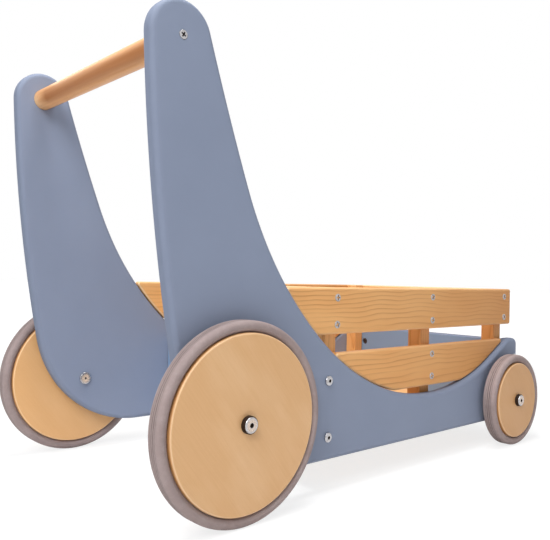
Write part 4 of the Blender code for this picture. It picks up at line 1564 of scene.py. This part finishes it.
@dataclass
class Wheel:
    """One wheel with its tyre and bush, and the washer behind it."""

    end: str
    side: str
    tree: TyreTree
    disc_edge: float = 1.8 * MM
    disc_facets: int = 144
    disc_bore: float = 6.6 * MM
    face_rim: float = 0.8 * MM
    pith: float = 300.0 * MM
    # the front discs are darkened: painted shade of the light falling off towards the front
    front_shade: float = 0.42
    left_fresh: float = -0.35
    slant: float = math.radians(52.0)
    ribs: int = 3
    rib_pitch: float = 2.7 * MM
    groove: float = 0.85 * MM
    groove_mouth: float = 0.42 * MM
    groove_floor: float = 0.14 * MM
    rib_drop: float = 0.05 * MM
    shoulder_drop: float = 0.3 * MM
    shoulder_groove: float = 1.5
    bead: float = 4.9 * MM
    bead_turn: range = range(-10, 126, 7)
    lip: tuple[tuple[float, float], ...] = ((1.7, 2.4), (1.15, 3.0), (0.95, 4.3), (0.0, 4.5))
    seat_gap: float = 0.1 * MM
    axle_bore: float = 4.2 * MM
    nylon_edge: float = 0.5 * MM
    bush_facets: int = 72
    washer_facets: int = 60
    tube: float = 6.45 * MM
    flange_gap: float = 0.05 * MM
    chamfer: float = 0.2 * MM
    cup: float = 2.3 * MM
    cup_floor: float = 1.0 * MM
    cup_wall: tuple[float, float] = (0.65 * MM, 0.7 * MM)

    @property
    def body(self) -> str:
        """The body that the wheel turns with."""
        return self.node("wheel")

    @property
    def outward(self) -> Vector:
        """The way from the panel to the wheel's face."""
        return LEFT * SIDES[self.side]

    def node(self, part: str) -> str:
        """The name of one of the wheel's nodes or pieces."""
        return f"{self.end}_{self.side}_{part}"

    def span(self, part: str) -> Span:
        """Where a node lies on the axle.

        Args:
            part: The node's name without its corner.

        Returns:
            Its place, length and radius.
        """
        low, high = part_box(self.node(part))
        inner, outer = sorted((abs(low.y), abs(high.y)))
        middle = (low + high) / 2
        place = Vector((middle.x, SIDES[self.side] * inner, middle.z))
        return Span(place, inner, outer - inner, (high.z - low.z) / 2)

    def build(self) -> None:
        """Makes the pieces that turn, and the washer that stays on the panel."""
        self.build_disc()
        self.build_tyre()
        self.build_bush()
        self.build_spacer()

    def build_disc(self) -> None:
        """The plywood disc, bored for its bush."""
        span, hole, edge = self.span("wheel_disc"), self.disc_bore, self.disc_edge
        depth, face = span.length, span.radius - edge
        rings = [(hole, 0.0), (face / 2, 0.0), (face - self.face_rim, 0.0)]
        rings += rounded(face, edge, edge, -math.pi / 2, 5)
        rings += rounded(face, depth - edge, edge, 0.0, 5)
        rings += [(face - self.face_rim, depth), (face / 2, depth), (hole, depth)]
        shape = turned(rings, self.disc_facets, True)
        arris = shape.verts.layers.float.new("arris")
        side = shape.verts.layers.float.new("side")
        # arris: the rounded rim, where a painted highlight lies; side: the sawn side beyond it, brown with a
        # painted shade
        for vert in shape.verts:
            beyond = max(0.0, (math.hypot(vert.co.x, vert.co.y) - face) / edge)
            vert[arris] = math.sin(math.pi * beyond) if beyond < 0.999 else 0.0
            vert[side] = min(1.0, beyond) ** 3
        turn_to(shape, self.outward, span.place)
        along = Vector((math.cos(self.slant), 0, -math.sin(self.slant)))
        start = 0.37 * ENDS.index(self.end) + 0.8 * (self.side == "left")
        ripe = self.front_shade if self.end == "front" else self.left_fresh * (self.side == "left")
        Grain(along, Vector((along.z, 0, -along.x)), self.pith, depth / 2, start, (ripe, ripe)).lay(shape)
        settle(loose(self.node("disc"), shape), Stock.BIRCH, [self.node("wheel_disc")], self.body)

    def section(self, width: float, depth: float) -> Outline:
        """The tyre's section: a ribbed tread, a rolled bead at each side, and a flat against the disc.

        Args:
            width: The tyre's width.
            depth: The tyre's depth, from the disc to the tread.

        Returns:
            Points with X away from the axle and Y along it, from the tyre's middle.
        """
        half, crest, seat = width / 2, depth / 2, -depth / 2
        tread: Outline = []
        for i in range(self.ribs + 1):
            y = (i - self.ribs / 2) * self.rib_pitch
            sunk = crest - self.groove * (self.shoulder_groove if i in (0, self.ribs) else 1.0)
            first, last = (crest - (self.shoulder_drop if i == k else self.rib_drop) for k in (0, self.ribs))
            tread += [
                Vector((first, y - self.groove_mouth)),
                Vector((sunk, y - self.groove_floor)),
                Vector((sunk, y + self.groove_floor)),
                Vector((last, y + self.groove_mouth)),
            ]
            if i < self.ribs:
                tread.append(Vector((crest, y + self.rib_pitch / 2)))
        middle = Vector((crest - self.bead, half - self.bead))
        angles = [math.radians(degrees) for degrees in self.bead_turn]
        bead = [middle + Vector((math.cos(a), math.sin(a))) * self.bead for a in angles]
        bead += [Vector((seat + up * MM, half - back * MM)) for up, back in self.lip]
        return [Vector((p.x, -p.y)) for p in bead[::-1]] + tread + bead

    def build_tyre(self) -> None:
        """The rubber tyre, swept round the disc."""
        span = self.span("tyre")
        depth = span.radius - self.span("wheel_disc").radius - self.seat_gap
        points = self.section(span.length, depth)
        mesh = bpy.data.meshes.new(self.node("rubber_tyre"))
        edges = [(i, (i + 1) % len(points)) for i in range(len(points))]
        mesh.from_pydata([(p.x, p.y, 0.0) for p in points], edges, [])
        recess = mesh.attributes.new("recess", "FLOAT", "POINT")
        for held, point in zip(recess.data, points):
            # how far the point is from a groove's middle, in ribs: the painted shade in a groove is darkest
            # at its floor
            between = abs((point.y / self.rib_pitch + self.ribs / 2 + 0.5) % 1.0 - 0.5)
            in_tread = abs(point.y) < (self.ribs / 2 + 0.25) * self.rib_pitch and point.x > 0
            held.value = in_tread * (1.0 if between < 0.1 else 0.3 if between < 0.25 else 0.0)
        made = add_object(self.node("rubber_tyre"), mesh)
        centre = span.place + self.outward * (span.length / 2)
        values = {"Radius": span.radius - depth / 2, "Facets": self.disc_facets, "Centre": centre}
        self.tree.grow(made, Stock.RUBBER, values)
        settle(made, Stock.RUBBER, [self.node("tyre")], self.body)

    def build_bush(self) -> None:
        """The black bush, with a flange on the disc's face that cups the bright cap."""
        span, disc = self.span("hub_bush"), self.span("wheel_disc")
        radius, edge, hole = span.radius, self.nylon_edge, self.axle_bore
        start = disc.inner + disc.length - span.inner + self.flange_gap
        lip, floor = span.length + self.cup, span.length - self.cup_floor
        rings = [(hole, 0.0), (self.tube, 0.0), (self.tube, start)]
        rings += [(radius - self.chamfer, start), (radius, start + self.chamfer)]
        rings += rounded(radius - edge, lip - edge, edge, 0.0, 4)
        rings += [(radius - self.cup_wall[0], lip - self.chamfer), (radius - self.cup_wall[1], floor)]
        shape = turned(rings + [(hole, floor)], self.bush_facets, True)
        turn_to(shape, self.outward, span.place)
        settle(loose(self.node("bush"), shape), Stock.NYLON, [self.node("hub_bush")], self.body)

    def build_spacer(self) -> None:
        """The nylon washer between the panel and the wheel."""
        span, edge = self.span("spacer"), self.nylon_edge
        face = span.radius - edge
        rings = [(self.axle_bore, 0.0)] + rounded(face, edge, edge, -math.pi / 2, 3)
        rings += rounded(face, span.length - edge, edge, 0.0, 3) + [(self.axle_bore, span.length)]
        shape = turned(rings, self.washer_facets, True)
        turn_to(shape, self.outward, span.place)
        settle(loose(self.node("washer"), shape), Stock.NYLON, [self.node("spacer")])


@dataclass
class Hardware:
    """Every fastener that shows: axle caps and bolts, board bolts and nuts, handle and slat screws."""

    cap: Head = Head(
        7.4 * MM, 4.0 * MM, 0.9 * MM, Drive.HEX, 2.5 * MM, 1.8 * MM, 4.0 * MM, 36 * MM, beige_share=0.65
    )
    axle_bolt: Head = Head(
        7.4 * MM, 2.4 * MM, 0.7 * MM, Drive.HEX, 1.3 * MM, 1.5 * MM, 2.4 * MM, 30 * MM, 0.1 * MM, beige_share=1.0
    )
    board_bolt: Head = Head(
        5.2 * MM, 1.9 * MM, 0.8 * MM, Drive.HEX, 2.0 * MM, 1.4 * MM, 2.9 * MM, 49 * MM, 0.5 * MM
    )
    # the barrel nuts are darkened all over: painted shade at the bottom of their holes
    nut: Head = Head(
        4.9 * MM, 0.8 * MM, 0.4 * MM, Drive.SLOT, 3.8 * MM, 1.0 * MM, 4.9 * MM, 10 * MM, tarnish_and_shade=0.85
    )
    handle_screw: Head = Head(
        4.1 * MM, 0.3 * MM, 0.2 * MM, Drive.CROSS, 2.5 * MM, 1.5 * MM, 2.1 * MM, 45 * MM, 0.1 * MM, 2.1 * MM
    )
    slat_screw: Head = Head(
        4.2 * MM, 0.45 * MM, 0.3 * MM, Drive.CROSS, 2.9 * MM, 1.4 * MM, 1.7 * MM, 27 * MM, 0.15 * MM,
        2.0 * MM, 0.12
    )
    cap_sunk: float = 1.0 * MM
    slat_margins: tuple[float, float] = (11.1 * MM, 40.4 * MM)
    lower_margins: tuple[float, float] = (11.3 * MM, 39.4 * MM)

    def build(self) -> None:
        """Makes each set of fasteners."""
        tree = FastenerTree()
        outward = {f"{end}_{side}": Vector((0, SIDES[side], 0)) for end, side in CORNERS}
        caps = {f"{corner}_axle_sleeve": way for corner, way in outward.items()}
        axles = {f"{end}_{side}_axle_bolt": Vector((0, -SIDES[side], 0)) for end, side in CORNERS}
        bolts = {f"{corner}_{level}_bolt": way for corner, way in outward.items() for level in LEVELS}
        nuts = {
            f"{end}_{side}_{level}_barrel_nut": Vector((INWARD[end], 0, 0))
            for end, side in CORNERS
            for level in LEVELS
        }
        screws = {f"{side}_handle_screw": Vector((0, sign, 0)) for side, sign in SIDES.items()}
        for fasteners in (
            self.on_nodes("axle_caps", self.cap, 3, caps, self.cap.top + self.cap_sunk),
            self.on_nodes("axle_bolts", self.axle_bolt, 5, axles, self.axle_bolt.top),
            self.on_nodes("board_bolts", self.board_bolt, 7, bolts, self.board_bolt.top),
            self.on_nodes("barrel_nuts", self.nut, 11, nuts, self.nut.top),
            self.on_nodes("handle_screws", self.handle_screw, 13, screws, 0.0),
            self.slat_screws(),
        ):
            fasteners.build(tree)

    @staticmethod
    def on_nodes(name: str, head: Head, seed: int, ways: dict[str, Vector], depth: float) -> FastenerSet:
        """A set with one fastener on each of its nodes.

        Args:
            name: The set's name.
            head: The fastener.
            seed: What the heads' turns are drawn from.
            ways: Each node, and the way that its head looks.
            depth: How far under the node's end the head's underside lies.

        Returns:
            The set.
        """
        made = FastenerSet(name, head, seed)
        for node, way in ways.items():
            made.add(face_point(node, way, depth), way, node)
        return made

    def slat_screws(self) -> FastenerSet:
        """Two screws through each slat into each post behind it.

        Returns:
            The set.
        """
        slats = (("top", POSTS, self.slat_margins), ("lower", ("middle",), self.lower_margins))
        rows = [
            (f"{side}_{level}_slat", f"{post}_{side}_post", Vector((0, sign, 0)), margins)
            for side, sign in SIDES.items()
            for level, posts, margins in slats
            for post in posts
        ]
        rows += [
            (f"{end}_top_slat", f"{end}_{side}_post", Vector((-INWARD[end], 0, 0)), self.slat_margins)
            for end, side in CORNERS
        ]
        made = FastenerSet("slat_screws", self.slat_screw, 17)
        for slat, post, way, margins in rows:
            edge, middle = face_point(slat, way + UP), face_point(post, Vector())
            x, y = (edge.x, middle.y) if way.x else (middle.x, edge.y)
            for margin in margins:
                made.add(Vector((x, y, edge.z - margin)), way)
        return made


@dataclass
class Studio:
    """The camera, the white floor and the soft light. Each lamp has its place, its width and its watts."""

    place: Vector = field(default_factory=lambda: Vector((-605.9, -634.7, 225.4)) * MM)
    yaw: float = math.radians(48.118)
    pitch: float = math.radians(0.734)
    roll: float = math.radians(-1.243)
    lens: float = 42.62
    sensor: float = 36.0
    nearest: float = 20.0 * MM
    floor_size: float = 30.0
    floor_grey: float = 0.8
    floor_shown: float = 0.24
    floor_lift: float = 0.79
    lift_start: float = 0.9
    lift_end: float = 2.4
    sky_level: float = 0.3
    lamp_aim: Vector = field(default_factory=lambda: Vector((-0.05, 0.0, 0.15)))
    lamps: dict[str, tuple[Vector, float, float]] = field(
        default_factory=lambda: {
            "top_softbox": (Vector((-0.2, -0.08, 1.75)), 0.75, 24.0),
            "side_softbox": (Vector((-1.3, -0.7, 1.3)), 1.0, 22.0),
            "left_softbox": (Vector((-0.1, 1.8, 0.9)), 1.0, 6.5),
        }
    )

    def build(self) -> None:
        """Sets up everything round the walker."""
        bpy.context.scene.view_settings.view_transform = "Standard"
        self.build_camera()
        self.build_floor()
        self.build_sky()
        self.build_lamps()

    def build_camera(self) -> None:
        """The camera at the photograph's viewpoint."""
        flat = Vector((math.cos(self.yaw), math.sin(self.yaw), 0.0))
        ahead = flat * math.cos(self.pitch) + UP * math.sin(self.pitch)
        level = Vector((flat.y, -flat.x, 0.0))
        down = ahead.cross(level)
        right = level * math.cos(self.roll) + down * math.sin(self.roll)
        up = level * math.sin(self.roll) - down * math.cos(self.roll)
        data = bpy.data.cameras.new("photo_camera")
        data.sensor_fit = "HORIZONTAL"
        data.sensor_width = self.sensor
        data.lens = self.lens
        data.clip_start = self.nearest
        camera = add_object("photo_camera", data)
        turn = Matrix((right, up, -ahead)).transposed().to_4x4()
        camera.matrix_world = Matrix.Translation(self.place) @ turn
        bpy.context.scene.camera = camera

    def build_floor(self) -> None:
        """A white floor that shows white, most of all far off, and keeps the walker's shadow."""
        half = self.floor_size / 2
        mesh = bpy.data.meshes.new("studio_floor")
        corners = [(-half, -half, 0), (half, -half, 0), (half, half, 0), (-half, half, 0)]
        mesh.from_pydata(corners, [], [(0, 1, 2, 3)])
        floor = add_object("studio_floor", mesh)
        material = bpy.data.materials.new("studio_floor_white")
        material.use_nodes = True
        sheet = Sheet(material.node_tree)
        seen = sheet.seen()
        greys = [(level, level, level, 1.0) for level in (self.floor_grey, self.floor_shown)]
        paper = sheet.node("ShaderNodeBsdfDiffuse", {}, {"Color": sheet.mix(*greys, seen)})
        x, y, _ = sheet.parts(sheet.objects())
        away = ((x * x + y * y).root() - self.lift_start) / (self.lift_end - self.lift_start)
        level = self.floor_lift + (1.0 - self.floor_lift) * away.most(0.0).least(1.0)
        lift = sheet.node("ShaderNodeEmission", {}, {"Strength": seen * level})
        both = sheet.node("ShaderNodeAddShader", {}, {0: paper, 1: lift})
        sheet.node("ShaderNodeOutputMaterial", {}, {"Surface": both})
        mesh.materials.append(material)

    def build_sky(self) -> None:
        """Faint light from all round, from a sky that the camera sees as white."""
        world = bpy.data.worlds.new("studio_sky")
        world.use_nodes = True
        sheet = Sheet(world.node_tree)
        soft, white = (
            sheet.node("ShaderNodeBackground", {}, {"Color": WHITE, "Strength": strength})
            for strength in (self.sky_level, 1.0)
        )
        sky = sheet.node("ShaderNodeMixShader", {}, {0: sheet.seen(), 1: soft, 2: white})
        sheet.node("ShaderNodeOutputWorld", {}, {"Surface": sky})
        bpy.context.scene.world = world

    def build_lamps(self) -> None:
        """The large soft lamps, which look at the walker."""
        for name, (place, size, power) in self.lamps.items():
            data = bpy.data.lights.new(name, "AREA")
            data.shape, data.size, data.energy = "DISK", size, power
            lamp = add_object(name, data)
            lamp.location = place
            lamp.rotation_mode = "QUATERNION"
            lamp.rotation_quaternion = (self.lamp_aim - place).to_track_quat("-Z", "Y")


def main() -> None:
    """Builds the walker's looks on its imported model."""
    logging.basicConfig(level=logging.INFO, format="%(message)s")
    for found in list(bpy.data.objects):
        bpy.data.objects.remove(found)
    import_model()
    Studio().build()
    Panels().build()
    Handle().build()
    Crate().build()
    tyres = TyreTree()
    for end, side in CORNERS:
        Wheel(end, side, tyres).build()
    Hardware().build()


if __name__ == "__main__":
    main()
